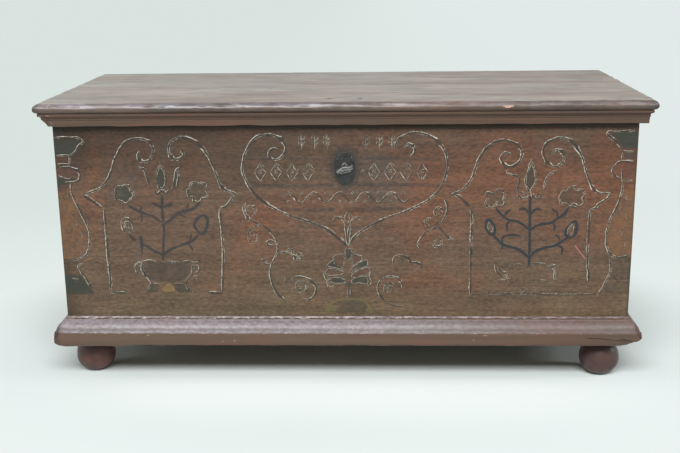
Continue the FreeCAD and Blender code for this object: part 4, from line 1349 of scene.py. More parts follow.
def patch(points, step=5.0, more=0.0):
    """Filled shape: rings that grow from the middle out to a closed outline, then step back into the board.
    It lies a fill's thickness, and more, in front of the board."""
    path = smooth_line(points, step, True)[0][:-1]
    middle = path.mean(0)
    share = np.array([0.5, 0.8, 1.0, 1.0])[:, None]
    x, z = (middle[i] + share * (path[:, i] - middle[i]) for i in (0, 1))
    rise = fill_rise() + more
    y = FRONT + np.array([-rise, -rise, -rise, SUNK])[:, None] + 0 * x
    return tube_shell(np.stack([x, y, z], -1), {"rim": share})


def side_patch(outline, more=0.0):
    """Filled shape of straight rows between the front's upright edge and an outline of (height, x)."""
    path, _ = smooth_line(outline, 5.0)
    edge_x = math.copysign(HALF_WIDTH - 1.5, path[0, 1])
    share = np.linspace(0, 1, 7)[None, :]
    x = edge_x + share * (path[:, 1:] - edge_x)
    z = path[:, :1] + 0 * x
    ends = np.minimum(np.arange(len(path)), np.arange(len(path))[::-1])[:, None] / 2.0
    rim = np.maximum(share, 1 - 0.2 * np.clip(ends, 0, 1))
    front, back = (np.stack([x, FRONT + y + 0 * x, z], -1) for y in (-fill_rise() - more, SUNK))
    return slab_shell(front, back, {"rim": rim})


def cut_lines(strokes, worn=0.3, scale=1.0, closed=False):
    half = ornament().line_half_width / MM * scale
    section = cut_section()
    return [line_strip(points, half, section, worn, closed) for points in strokes]


def brush_lines(strokes, half_width, worn=0.2, ends=0.45, outline=None, closed=False):
    return [line_strip(points, half_width, STROKE_SECTION, worn, closed, ends, outline) for points in strokes]


def front_piece(name, look, shells):
    return build(name, shells, [look], "case")


def front_fill(name, look, outlines, step=5.0, more=0.0):
    return front_piece(name, look, [patch(outline, step, more) for outline in outlines])


# ---------------------------------------------------------------- mouldings, lid and feet


def looks_up(reach, height):
    """Share by which the surface at each point of a profile looks up, from its neighbours' direction."""
    across = np.gradient(reach)
    rise = np.gradient(height)
    return np.clip(-across / (np.hypot(across, rise) + 1e-9), 0, 1)


def bow(start, end, rise, edge, count):
    """Points of an arc from start to end whose middle lies rise to the right of the chord, each with the same
    edge wear; start is left out."""
    start = np.array(start, float)
    chord = np.array(end, float) - start
    across = np.array([chord[1], -chord[0]]) / np.hypot(*chord)
    t = np.linspace(0, 1, count + 1)[1:, None]
    return [(*point, edge) for point in start + chord * t + across * rise * 4 * t * (1 - t)]


def base_outline():
    """Base profile of (projection, height, edge wear): round, fascia, step, gentle slope, quirk, bead."""
    points = [(0, 0, 0), (12, 0, 0), (20.5, 0, 0.2), *bow((20.5, 0), (28.5, 8), 2.3, 0.3, 4)]
    points += [(28.5, 16, 0), (28.5, 24, 0), (28.5, 28, 0.1), (28.4, 30.6, 0.6)]
    points += [(27.8, 32.2, 1.0), (26.6, 33.6, 0.8), (25.0, 35.4, 0.3)]
    points += bow((25.0, 35.4), (5.4, 57.0), 3.4, 0.0, 9) + [(4.9, 58.4, 0.5)]
    points += bow((4.9, 58.4), (2.5, 64.6), 1.4, 1.2, 5) + [(0, 64.6, 0.3)]
    return np.array(points) + (0, BASE_LOW, 0)


def hanging_outline():
    """Profile of the moulding under the lid: flat, small step, hollow and a bead against the lid's nose."""
    points = [(2, -28.5, 0), (10, -28.5, 0), (16.2, -28.5, 0.3), (17, -27.6, 0.6)]
    points += [(17.2, -20.6, 0.1), (17.6, -20.2, 0.1), (17.6, -14.2, 0.1), (19.0, -13.8, 0.3)]
    points += bow((19.0, -13.8), (18.8, -11.4), 0.7, 0.3, 3) + [(18.0, -11.0, 0.1)]
    points += bow((18.0, -11.0), (22.4, -5.6), -0.9, 0.0, 5) + [(24, -5.4, 0.3)]
    points += bow((24, -5.4), (24.2, 1.2), 1.0, 0.4, 5) + [(18, 1.6, 0), (2, 0, 0)]
    return np.array(points) + (0, CASE_TOP, 0)


def nose_outline():
    """Lid edge of (projection, height, edge wear) from the flat top over the nose to its underside."""
    points = [(21.5, 0, 0.2), *bow((21.5, 0), (33.5, -11.5), -2.4, 0.7, 8)]
    points += bow((33.5, -11.5), (32.4, -16.6), -0.5, 0.6, 3)
    points += [(29.8, -19.4, 0.3), (26.2, -21.6, 0), (23.2, -22.4, 0), (22.6, -24, 0)]
    return np.array(points) + (0, LID_TOP, 0)


def moulding_shell(side, outline, depth, seed, painted_sheen, damage):
    """Moulding: the worn outline carried along the case's side, mitred at the front corners. Wear draws each
    point in by a smooth random share of depth, more on its edges, and lifts or drops the lower edge a little.
    The fifth argument is how much of the painted sheen, a grey highlight, its upper faces carry."""
    reach, height, edge = outline.T
    run = 2 * HALF_WIDTH if side == "front" else CASE_BACK - FRONT
    share = np.linspace(0, 1, int(run / 6.0) + 1)[:, None]
    start = {"front": 0.0, "left": 700.0, "right": 1400.0}[side]
    along = start + share * run
    outside = np.clip((reach - 3.0) / 6.0, 0, 1)
    draw = 0.5 + 0.5 * waviness(seed, 46.0, along, height[None, :] * 1.5)
    fine = 0.5 + 0.5 * waviness(seed + 1, 13.0, along, height[None, :])
    p = reach - depth * outside * (0.35 * draw + (0.25 + 0.75 * edge) * fine * draw)
    low_edge = np.clip(1 - (height - height.min()) / 9.0, 0, 1) * outside
    wander = low_edge * 0.8 * waviness(seed + 2, 120.0, along) + edge * 0.35 * waviness(seed + 4, 60.0, along)
    z = height + wander
    if side == "front":
        x = (2 * share - 1) * (HALF_WIDTH + reach)
        y = FRONT - p
    else:
        x = (HALF_WIDTH + p) * (-1 if side == "left" else 1)
        y = (FRONT - reach) + share * (CASE_BACK - FRONT + reach)
    x, y, z, raw = damage(side, x, y, z)
    around = np.cumsum(np.hypot(np.diff(reach, prepend=0), np.diff(height, prepend=0)))
    marks = {"along": along * MM, "around": around * MM, "edge": edge, "raw": raw}
    # How much of the painted sheen each point carries.
    marks["up"] = painted_sheen * looks_up(reach, height)
    return tube_shell(np.stack([x, y, z], -1), marks)


def base_damage(side, x, y, z):
    """The front right corner has its lower edge broken away, and the left corner's is rounded by wear."""
    reach = np.maximum(FRONT - y, np.abs(x) - HALF_WIDTH)
    low = np.clip((BASE_LOW + 9 - z) / 9, 0, 1) * np.clip((reach - 4) / 8, 0, 1)
    if side == "left":
        lift = np.interp(-y, [262, 280, 298], [0, 3, 9])
    elif side == "right":
        lift = np.interp(-y, [235, 258, 278, 298], [0, 4, 9, 19])
    else:
        z = z - low * np.interp(x, [-680, -545, -520, -500], [3.6, 3.2, 2.2, 0])
        left = ([-684, -677, -668, -655, -640], [12, 4.0, -1.5, -4, -9])
        right = ([604, 628, 651, 656, 684], [-1, 1.2, 6, 10.5, 20])
        lift = np.interp(x, left[0] + right[0], left[1] + right[1])
    floor = BASE_LOW + lift * (1 + 0.18 * waviness(81, 9.0, x, y))
    cut = z < floor
    raw = np.where(cut & (lift > 2.5) & (x > 0), 1.0, 0.0)
    z = np.where(cut, floor, z)
    corner = np.clip((np.minimum(np.abs(x), HALF_WIDTH + FRONT - y) - 665) / 12, 0, 1)
    loss = corner * np.clip((z - BASE_LOW - 17) * 0.42, 0, 7) * (z < BASE_LOW + 50) * (reach > 12)
    if side == "front":
        return x, y + loss, z, raw
    return x - np.sign(x) * loss, y, z, raw


def lid_end_damage(side, x, y, z):
    """The left front end of the moulding under the lid is broken away along a slant, deepest low down."""
    if side == "right":
        return x, y, z, 0 * x
    back = np.clip((y - FRONT - 18) / 60, 0, 1) if side == "left" else 0.0
    limit = -np.interp(z - CASE_TOP, [-28.5, -17, -9, 0], [655, 664, 674, 684])
    limit = limit - 20 * back + 0.9 * waviness(83, 7.0, y, 1.5 * z)
    near = np.clip((-646 - x) / 8, 0, 1) * (1 - back)
    torn = waviness(84, 16.0, x, y, z)
    raw = np.where((near > 0) & (torn + near > 0.75), near, 0.0)
    return np.maximum(x, limit), y, z, raw


def lid_plank_shell(front_edge, y0, y1, seed):
    """Lid plank: a grid over its top that runs on over the nose at both ends, and at the front where it has
    one, mitred at the corners, and a flat underside. Wear draws the nose in by a smooth random share."""
    reach, height, edge = nose_outline().T
    nose = len(reach) - 1
    cols = 240
    rows = int((y1 - y0) / 6.5)
    inward = np.arange(nose, 0, -1)
    col_step = np.concatenate([inward, np.zeros(cols, int), inward[::-1]])
    flat_x = np.concatenate([np.full(nose, -1.0), np.linspace(-1, 1, cols), np.full(nose, 1.0)])
    row_step = np.zeros(rows, int)
    flat_y = np.linspace(FRONT - reach[0] if front_edge else y0, y1, rows)
    if front_edge:
        row_step = np.concatenate([inward, row_step])
        flat_y = np.concatenate([np.full(nose, flat_y[0]), flat_y])
    row_step, flat_y = row_step[:, None], flat_y[:, None]
    ring = np.maximum(col_step, row_step)
    share_x = col_step / np.maximum(ring, 1)
    share_y = row_step / np.maximum(ring, 1)
    out = reach[ring] - reach[0]
    x = flat_x * (HALF_WIDTH + reach[0]) + np.sign(flat_x) * out * share_x
    y = flat_y - out * share_y
    z = height[ring]
    lump = 0.5 + 0.5 * waviness(seed, 34.0, x, y, 2.5 * z)
    fine = 0.5 + 0.5 * waviness(seed + 1, 11.0, x, y, 2 * z)
    free = np.clip((z - CASE_TOP) / 8.0, 0, 1)
    depth = wear().nose_wear / MM * edge[ring] * free * (0.7 * lump + 0.5 * fine * lump)
    x = x - np.sign(x) * depth * share_x * 0.8
    y = y + depth * share_y * 0.8
    sag = 0.22 * (1 + waviness(seed + 2, 150.0, x * 0.4, y)) * (ring == 0)
    z = z - depth * 0.55 * (height[ring] > LID_TOP - 9) - sag
    z = z - 0.7 * np.clip(1 - np.abs(y - LID_JOINT) / 3.0, 0, 1) * (z > LID_TOP - 4)
    lower_x = flat_x * (HALF_WIDTH + reach[-1]) + 0 * x
    lower_x[:, [0, -1]] = x[:, [0, -1]]
    lower_y = flat_y + 0 * y
    lower_y[0] = y[0]
    if front_edge:
        lower_y = np.where(row_step > 0, FRONT - reach[-1] + 0 * y, lower_y)
    under = np.stack([lower_x, lower_y, np.full(z.shape, CASE_TOP)], -1)
    # How much each point looks up: its share of the painted sheen on the nose.
    up = looks_up(reach[::-1], height[::-1])[::-1][ring]
    marks = {"nose": np.clip(ring / 3.0, 0, 1), "edge": edge[ring], "up": up}
    shell = slab_shell(np.stack([x, y, z], -1), under, marks)
    quads = (z.shape[0] - 1) * (z.shape[1] - 1)
    shell["slots"] = [0] * quads + [1] * quads + [0] * (len(shell["faces"]) - 2 * quads)
    return shell


# Height of the foot's widest ring, radii of its flat bottom, neck and tenon, and the tenon's height, in
# millimetres.
FOOT_LEVEL = 37.0
FOOT_FLAT = 20.0
FOOT_NECK = 26.0
FOOT_TENON = 14.0
TENON_HIGH = 22.0


def upright_arc(widest, end_radius, end_height, count):
    """Radius and height of an arc that stands upright at the foot's widest ring and ends at a given ring."""
    across = widest - end_radius
    drop = end_height - FOOT_LEVEL
    bend = (across**2 + drop**2) / (2 * across)
    turn = np.linspace(0, 1, count) * math.asin(drop / bend)
    return list(zip(widest - bend + bend * np.cos(turn), FOOT_LEVEL + bend * np.sin(turn)))


def foot_shell(x, y, widest, seed):
    """Bun foot: two arcs that meet upright at the widest ring, a neck and a tenon, turned about the
    upright; the radius is uneven by a smooth random share."""
    outline = [(0.01, 0.0), (0.6 * FOOT_FLAT, 0.0)]
    outline += upright_arc(widest, FOOT_FLAT, 0.0, 16)[::-1]
    outline += upright_arc(widest, FOOT_NECK, BASE_LOW - 6, 14)[1:]
    outline += [(FOOT_NECK, BASE_LOW), (FOOT_TENON, BASE_LOW)]
    outline += [(FOOT_TENON, BASE_LOW + TENON_HIGH), (0.01, BASE_LOW + TENON_HIGH)]
    radius, height = np.array(outline).T
    turn = np.linspace(0, 2 * np.pi, 72, endpoint=False)[:, None]
    rough = waviness(seed, 38.0, 46 * np.cos(turn), 46 * np.sin(turn), height[None, :])
    loose = np.clip((radius - 20) / 20, 0, 1)
    r = radius - wear().foot_wear / MM * (0.5 + 0.5 * rough) * loose
    grid = np.stack([x + r * np.cos(turn), y + r * np.sin(turn), height + 0 * r], -1)
    rings, points = grid.shape[:2]
    index = np.arange(rings * points).reshape(rings, points)
    after = np.roll(index, -1, axis=0)
    quads = np.stack([index[:, :-1], after[:, :-1], after[:, 1:], index[:, 1:]], -1).reshape(-1, 4)
    ends = [index[:, 0][::-1].tolist(), index[:, -1].tolist()]
    return {"verts": grid.reshape(-1, 3), "faces": quads.tolist() + ends, "marks": {}}


# ---------------------------------------------------------------- keyhole iron

# Keyhole, pivot of its cover and faces of plate and cover; outlines as (x, z), and ridges with their height
# and half width, all in millimetres.
KEY_X = 3.5
KEY_EYE = 520.0
KEY_EYE_RADIUS = 4.6
KEY_SLOT_HALF = 2.6
KEY_SLOT_LOW = 503.0
KEY_MIDDLE = (KEY_EYE + KEY_SLOT_LOW) / 2
PIVOT = 532.0
PLATE_FRONT = FRONT - 1.5
COVER_BACK = PLATE_FRONT - 0.35
LEAF_RINGS = 22
PLATE_EDGE = [
    (3, 540.6), (14, 537.6), (22.5, 529), (26.8, 516), (27.2, 498), (25.6, 485), (19, 471), (10, 464.6),
    (2, 463.4), (-6, 466), (-13, 473), (-18, 486), (-20.2, 500), (-20, 517), (-15.6, 529), (-8, 537),
]
COVER_EDGE = [
    (3, 539.4), (12, 537), (19, 530), (22, 519), (22, 508), (21, 499), (12, 493), (3, 491), (-6, 489.5),
    (-13, 490.5), (-15.4, 496), (-15, 508), (-14.6, 520), (-11, 531), (-5, 537),
]
COVER_RIDGES = [
    ([(-15, 495), (-8, 499), (-1, 504), (5, 505), (13, 505), (20, 508)], 3.6, 2.3),
    ([(-13, 492.5), (-5, 496), (2, 499), (9, 500), (16, 501), (21, 503)], 3.0, 1.8),
    ([(-6, 491.5), (2, 493.5), (10, 495), (17, 497)], 2.2, 1.6),
    ([(-2, 511), (3, 515), (8, 510)], 1.5, 1.8),
]


def keyhole_radius(turn):
    """Distance from the middle of the keyhole's slot to its edge in each direction: the slot's side, or the
    far side of the eye where a ray leaves the slot inside the eye."""
    side, up = np.cos(turn), np.sin(turn)
    to_side = KEY_SLOT_HALF / np.maximum(np.abs(side), 1e-6)
    slot = np.minimum(to_side, (KEY_EYE - KEY_MIDDLE) / np.maximum(np.abs(up), 1e-6))
    drop = up * (KEY_EYE - KEY_MIDDLE)
    spare = KEY_EYE_RADIUS**2 - (KEY_EYE - KEY_MIDDLE) ** 2 + drop**2
    root = np.sqrt(np.maximum(spare, 0))
    inside = (spare > 0) & (drop - root <= slot + 1e-6)
    return np.where(inside, np.maximum(slot, drop + root), slot)


def iron_leaf(middle_z, hole, edge, front, back, relief):
    """Sheet round a hole: rings that grow from the hole's edge to the outline, in front and again at the
    back. hole gives the hole's radius in each direction, and relief how far the front stands out, and how
    rubbed it is, at each place."""
    outline = smooth_line(edge, 1.5, True)[0][:-1]
    angle = np.arctan2(outline[:, 1] - middle_z, outline[:, 0] - KEY_X)
    order = np.argsort(angle)
    turn = np.linspace(-np.pi, np.pi, 144, endpoint=False)
    distance = np.hypot(*(outline - (KEY_X, middle_z)).T)
    reach = np.interp(turn, angle[order], distance[order], period=2 * np.pi)
    inner = hole(turn)
    share = np.concatenate([np.linspace(0, 1, LEAF_RINGS), [1.0], [0.0]])[:, None]
    radius = inner + share * (reach - inner)
    x = KEY_X + radius * np.cos(turn)
    z = middle_z + radius * np.sin(turn)
    rise, rubbed = relief(x, z, share)
    y = front - rise
    y[LEAF_RINGS:] = back
    rubbed[LEAF_RINGS:] = 0.0
    shell = tube_shell(np.stack([x, y, z], -1), {"rubbed": rubbed, "rim": share}, closed=True)
    rings, points = x.shape
    first = np.arange(points)
    last = first + (rings - 1) * points
    shell["faces"] += np.stack([last, np.roll(last, -1), np.roll(first, -1), first], -1).tolist()
    return shell


def round_hole(radius):
    """Distance to a round hole's edge, the same in every direction."""
    return lambda turn: radius + 0 * turn


def no_relief(x, z, share):
    """Flat face that isn't rubbed."""
    return 0 * x, 0 * x


def plate_relief(x, z, share):
    """Uneven hammered face, rolled down at its edge."""
    rise = -0.12 * (1 + waviness(91, 7.0, x, z)) - 0.5 * np.clip((share - 0.9) / 0.1, 0, 1)
    return rise, 0.02 + 0 * x


def cover_relief(x, z, share):
    """Hammered face, with the lower end crumpled into sharp ridges: each stands out by its height less the
    distance to its line."""
    rise = 0.25 * waviness(92, 8.0, x, z) + 1.4 * np.clip((512 - z) / 14, 0, 1) ** 2
    # The upper rim and the ridge crests are marked bright: rubbed iron and a painted highlight.
    rubbed = 0.7 * np.clip((share - 0.88) / 0.08, 0, 1) * np.clip((z - 520) / 8, 0, 1)
    rubbed = rubbed * np.clip(0.3 + 1.2 * waviness(93, 9.0, x, z), 0, 1)
    ridges = np.zeros(x.shape)
    for line, height, width in COVER_RIDGES:
        path = smooth_line(line, 0.8)[0]
        away = np.hypot(x[..., None] - path[:, 0], z[..., None] - path[:, 1]).min(-1)
        crest = np.clip(1 - away / width, 0, 1)
        ridges = np.maximum(ridges, height * 0.62 * crest)
        rubbed = np.maximum(rubbed, crest**1.5)
    return rise + ridges, rubbed


# ---------------------------------------------------------------- operators


class CHEST_OT_materials(bpy.types.Operator):
    """Make the shared node groups and materials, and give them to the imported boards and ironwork"""

    bl_idname = "chest.materials"
    bl_label = "Materials"

    def execute(self, context):
        look = ornament()
        makers = {"grain": grain_group, "pine": pine_group, "board": board_group, "chips": chips_group}
        for name, make in makers.items():
            groups[name] = make()
        materials["painted_case"] = case_material()
        materials["painted_moulding"] = moulding_material()
        materials["painted_lid"] = lid_material()
        materials["turned_feet"] = foot_material()
        families = {
            pine_material: {"bare_pine": (False,), "till_pine": (True,)},
            iron_material: {"wrought_iron": (0.55, 0.7), "dark_iron": (0.5, 0.1)},
            line_material: {"cut_line": (0.9, 0.84), "faint_line": (0.74, 0.6)},
            stroke_material: {
                "ruled_line": (look.stroke_blue, 0.42),
                "pale_stem": (look.stroke_blue, 0.8),
                "stem": (look.stroke_blue, 0.96),
                "moss_line": (look.moss_green, 0.55),
            },
            scar_material: {
                "crack": (look.crack,),
                "splinter": (look.splinter,),
                "fresh_chip": (look.fresh_chip,),
            },
            fill_material: {
                "green_fill": (look.green_grey, 0.92, 0.5),
                "mound_fill": (look.green_grey, 0.42),
                "wine_fill": (look.wine, 0.6),
                "cap_fill": (look.green_grey, 0.96, 0.72),
                "stain_fill": (look.urn_brown, 0.75, 0.6, 0.4),
                "amber_fill": (look.amber, 0.8, 0.5, 0.86, True),
                "urn_fill": (look.urn_brown, 0.66, 0.5),
                "ochre_fill": (look.ochre, 0.75),
                "moss_fill": (look.moss_green, 0.6),
                "scratch_fill": (look.scratch, 1.0),
            },
        }
        for make, members in families.items():
            for name, values in members.items():
                materials[name] = make(name, *values)
        for row in frame["record"]["subparts"]:
            name = row["node"]
            slot = row["material_slot"]
            if name.startswith("till_"):
                slot = "till_pine"
            if name.startswith(("base_nails", "lid_moulding_nails")):
                slot = "painted_moulding"
            for place in frame["nodes"][name].material_slots:
                place.material = materials[slot]
        return {"FINISHED"}


class CHEST_OT_mouldings(bpy.types.Operator):
    """Base and lid mouldings with worn edges"""

    bl_idname = "chest.mouldings"
    bl_label = "Mouldings"

    def execute(self, context):
        depth = wear().moulding_wear / MM
        seed = wear().seed
        base = base_outline()
        hanging = hanging_outline()
        look = "painted_moulding"
        for n, side in enumerate(("front", "left", "right")):
            # The fifth numbers, 1.0 and 0.12, give how much painted sheen the upper faces carry.
            low = moulding_shell(side, base, depth, seed + 10 * n, 1.0, base_damage)
            high = moulding_shell(side, hanging, 0.45 * depth, seed + 100 + 10 * n, 0.12, lid_end_damage)
            for name, shell, body, crease in (("base", low, "case", 50), ("lid", high, "lid", 30)):
                replaced = f"{name}_moulding_{side}"
                build(f"worn_{replaced}", [shell], [look], body, [replaced], crease)
        scars = (
            ("base_cracks", BASE_CRACKS, 0.9, 0.3, base, "crack", "case"),
            ("base_specks", BASE_SPECKS, 1.0, 0.3, base, "splinter", "case"),
            ("lid_end_splinters", LID_SPLINTERS, 1.8, 0.3, hanging, "splinter", "lid"),
            ("lid_nose_crack", LID_CRACK, 1.0, 0.3, nose_outline(), "splinter", "lid"),
            ("lid_nose_chip", LID_CHIPS, 1.7, 0.4, nose_outline(), "fresh_chip", "lid"),
        )
        for name, strokes, half_width, ends, outline, scar, body in scars:
            build(name, brush_lines(strokes, half_width, 0.0, ends, outline), [scar], body)
        return {"FINISHED"}


class CHEST_OT_lid(bpy.types.Operator):
    """Lid planks with a dented, rounded nose"""

    bl_idname = "chest.lid"
    bl_label = "Lid"

    def execute(self, context):
        seed = wear().seed + 300
        for name, y0, y1 in (("lid_plank_front", FRONT, LID_JOINT), ("lid_plank_rear", LID_JOINT, LID_BACK)):
            shell = lid_plank_shell(name.endswith("front"), y0, y1, seed)
            looks = ["painted_lid", "bare_pine"]
            build(f"worn_{name}", [shell], looks, "lid", [name], crease=60)
        return {"FINISHED"}


class CHEST_OT_feet(bpy.types.Operator):
    """Turned bun feet"""

    bl_idname = "chest.feet"
    bl_label = "Feet"

    def execute(self, context):
        for n, place in enumerate(("front_left", "front_right", "rear_left", "rear_right")):
            replaced = f"foot_{place}"
            low, high = (np.array(corner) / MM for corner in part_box(replaced))
            x, y, _ = (low + high) / 2
            shell = foot_shell(x, y, (high[0] - low[0]) / 2, wear().seed + 400 + n)
            build(f"turned_{replaced}", [shell], ["turned_feet"], "case", [replaced])
        return {"FINISHED"}


class CHEST_OT_keyhole_iron(bpy.types.Operator):
    """Hammered keyhole plate, its crumpled swinging cover and the stain round them"""

    bl_idname = "chest.keyhole_iron"
    bl_label = "Keyhole iron"

    def execute(self, context):
        look = "dark_iron"
        plate = iron_leaf(KEY_MIDDLE, keyhole_radius, PLATE_EDGE, PLATE_FRONT + 0.25, FRONT, plate_relief)
        build("hammered_plate", [plate], [look], "case", ["escutcheon_plate"], crease=70)
        cover = iron_leaf(PIVOT, round_hole(2.3), COVER_EDGE, COVER_BACK - 1.2, COVER_BACK, cover_relief)
        build("hammered_cover", [cover], [look], "keyhole_cover", ["keyhole_cover"], crease=70)
        edge = oval(5, 505, 40, 56)
        stain = iron_leaf(KEY_MIDDLE, round_hole(16), edge, FRONT - 0.05, FRONT + SUNK, no_relief)
        front_piece("keyhole_stain", "stain_fill", [stain])
        return {"FINISHED"}


class CHEST_OT_arches(bpy.types.Operator):
    """Cut arches of the two panels and the heart of two scrolls"""

    bl_idname = "chest.arches"
    bl_label = "Arches and heart"

    def execute(self, context):
        front_piece("cut_left_arch", "cut_line", cut_lines(LEFT_ARCH, 0.25, 1.05))
        front_piece("cut_right_arch", "cut_line", cut_lines(RIGHT_ARCH, 0.25, 1.0))
        front_piece("cut_heart", "cut_line", cut_lines(HEART, 0.3, 1.0))
        front_piece("cut_right_sill", "faint_line", cut_lines(RIGHT_SILL, 0.62, 0.7))
        front_piece("ruled_lines", "ruled_line", brush_lines(HEART_RULES, 5.0, 0.6))
        return {"FINISHED"}


class CHEST_OT_heart_rows(bpy.types.Operator):
    """Small cut folk ornament between the ruled lines in the heart"""

    bl_idname = "chest.heart_rows"
    bl_label = "Heart rows"

    def execute(self, context):
        strokes = []
        for x in SPRIGS:
            strokes += leaf_sprig(x, SPRIG_ROW, 17)
        for x in LOZENGES:
            strokes += lozenge(x, LOZENGE_ROW, 13, 20)
        x = np.linspace(WAVE_LEFT, WAVE_RIGHT, 25)
        turn = (x - WAVE_LEFT) / (WAVE_RIGHT - WAVE_LEFT) * 10 * np.pi
        wave = list(zip(x, WAVE_ROW + 12 * np.sin(turn)))
        dots = [oval(x, LOZENGE_ROW, 2.8, 3.6) for x in LOZENGES]
        dots += [oval(x, WAVE_ROW + (-10, 10)[n % 2], 2.4, 2.4) for n, x in enumerate(range(-125, 150, 29))]
        dots += [oval(x, LOZENGE_ROW, 3.5, 3.5) for x in (-44, 44)]
        shells = cut_lines(strokes + [wave], 0.2, 0.72) + cut_lines(dots, 0.1, 0.55, True)
        front_piece("cut_heart_rows", "faint_line", shells)
        return {"FINISHED"}


class CHEST_OT_left_plant(bpy.types.Operator):
    """Tulip, flowers and buds of the left panel in their urn"""

    bl_idname = "chest.left_plant"
    bl_label = "Left plant"

    def execute(self, context):
        tulip = oval(-413, 484, 11, 26, 0, 0.5)
        bud = oval(-497, 373, 13, 18, -3, 0.45)
        left_flower = rosette(-500, 446, 22, 5, 0.3)
        right_flower = rosette(-331, 451, 24, 5, 1.1)
        greens = [patch(left_flower), patch(tulip)]
        greens += [patch(shape, 3.0) for shape in [LEFT_LEAF] + LEFT_URN_FOOT]
        front_piece("left_dark_fills", "green_fill", greens)
        front_fill("left_flower_fill", "mound_fill", [right_flower])
        front_fill("left_urn_fill", "urn_fill", [LEFT_URN_BOWL])
        front_fill("left_urn_arch", "ochre_fill", [LEFT_URN_ARCH], 3.0)
        shells = brush_lines(LEFT_STEMS, 4.5, 0.2, 0.6) + brush_lines(LEFT_TWIGS, 3.5, 0.2)
        shells += brush_lines(LEFT_BLOTS, 6.2, 0.3, 0.6) + brush_lines([LEFT_BUD], 4.4, 0.1, closed=True)
        front_piece("left_stems", "pale_stem", shells)
        rings = [tulip, bud, left_flower, right_flower, oval(-497, 372, 6, 9)]
        shells = cut_lines(rings, 0.3, 0.74, True) + cut_lines(LEFT_FLOWERS, 0.1, 0.85)
        front_piece("cut_left_plant", "cut_line", shells + cut_lines(LEFT_URN, 0.0, 0.85))
        return {"FINISHED"}


class CHEST_OT_right_plant(bpy.types.Operator):
    """Tulip, flowers and buds of the right panel, and what is left of their urn"""

    bl_idname = "chest.right_plant"
    bl_label = "Right plant"

    def execute(self, context):
        front_fill("right_tulip_fill", "green_fill", [RIGHT_TULIP])
        front_fill("right_flower_fill", "mound_fill", RIGHT_BLOOMS)
        shells = brush_lines(RIGHT_STEMS, 4.5, 0.05, 0.6) + brush_lines(RIGHT_TWIGS, 3.6, 0.1)
        front_piece("right_stems", "stem", shells + brush_lines(RIGHT_BUDS, 4.8, 0.05, closed=True))
        shells = cut_lines([RIGHT_TULIP] + RIGHT_BLOOMS, 0.2, 0.7, True) + cut_lines(RIGHT_FLOWERS, 0.2, 0.75)
        shells += cut_lines(RIGHT_BUD_HEARTS, 0.2, 0.5, True) + cut_lines(RIGHT_URN_BRIGHT, 0.05, 0.7)
        front_piece("cut_right_plant", "cut_line", shells)
        front_piece("cut_right_urn", "faint_line", cut_lines(RIGHT_URN, 0.3, 0.75))
        front_piece("right_scratch", "scratch_fill", brush_lines(SCRATCH, 1.6, 0.0))
        return {"FINISHED"}


class CHEST_OT_centre(bpy.types.Operator):
    """Palmette on its mound and the vines beside it"""

    bl_idname = "chest.centre"
    bl_label = "Palmette and vines"

    def execute(self, context):
        front_fill("palmette_green", "green_fill", GREEN_PETALS + [PETAL_HUB], 3.0)
        front_fill("palmette_wine", "wine_fill", WINE_PETALS, 3.0)
        front_fill("mound", "mound_fill", [MOUND])
        front_fill("mound_feet", "moss_fill", MOUND_FEET, 3.0, 0.05)
        rings = GREEN_PETALS + WINE_PETALS + [oval(8, 388, 6, 11, 0, 0.4)]
        shells = cut_lines(rings, 0.0, 0.44, True) + cut_lines(CENTRE_STALK, 0.05, 0.66)
        front_piece("cut_palmette", "cut_line", shells + cut_lines([oval(5, 198, 1.6, 1.6)], 0.0, 0.6, True))
        front_piece("cut_mound", "moss_line", brush_lines([MOUND], 3.2, 0.2))
        spiral = cut_lines([volute(-103, 226, 17, 250, 1.6)], 0.4, 0.65)
        front_piece("cut_left_vine", "cut_line", cut_lines(LEFT_VINE + LEFT_VOLUTE, 0.25, 0.82) + spiral)
        spiral = cut_lines([volute(103, 220, 15, 40, 1.5)], 0.5, 0.6)
        front_piece("cut_right_vine", "cut_line", cut_lines(RIGHT_VINE + RIGHT_SCROLLS, 0.3, 0.8) + spiral)
        return {"FINISHED"}


class CHEST_OT_balusters(bpy.types.Operator):
    """Half balusters painted on both front edges"""

    bl_idname = "chest.balusters"
    bl_label = "Half balusters"

    def execute(self, context):
        for name, look, layer, outlines in BALUSTER_FILLS:
            shells = [side_patch(outline, layer * n) for n, outline in enumerate(outlines)]
            front_piece(name, look, shells)
        front_piece("belly_squiggles", "faint_line", cut_lines(SQUIGGLES, 0.3, 0.5))
        front_piece("cut_left_baluster", "cut_line", cut_lines(LEFT_BALUSTER, 0.1, 0.8))
        front_piece("cut_right_baluster", "cut_line", cut_lines(RIGHT_BALUSTER, 0.25, 0.78))
        return {"FINISHED"}


# Colour of the light from all round, half the floor's width in metres, how far the side lamps are turned from
# straight down, and the camera's place in metres and its turn left, down and round its own axis in degrees.
SKY_WHITE = (0.97, 0.99, 1.0)
FLOOR_HALF = 40
SIDE_LAMP_TURN = math.radians(65)
CAMERA_PLACE = (0.0821, -2.5587, 0.9692)
CAMERA_TURNS = (2.277, 14.702, 0.722)


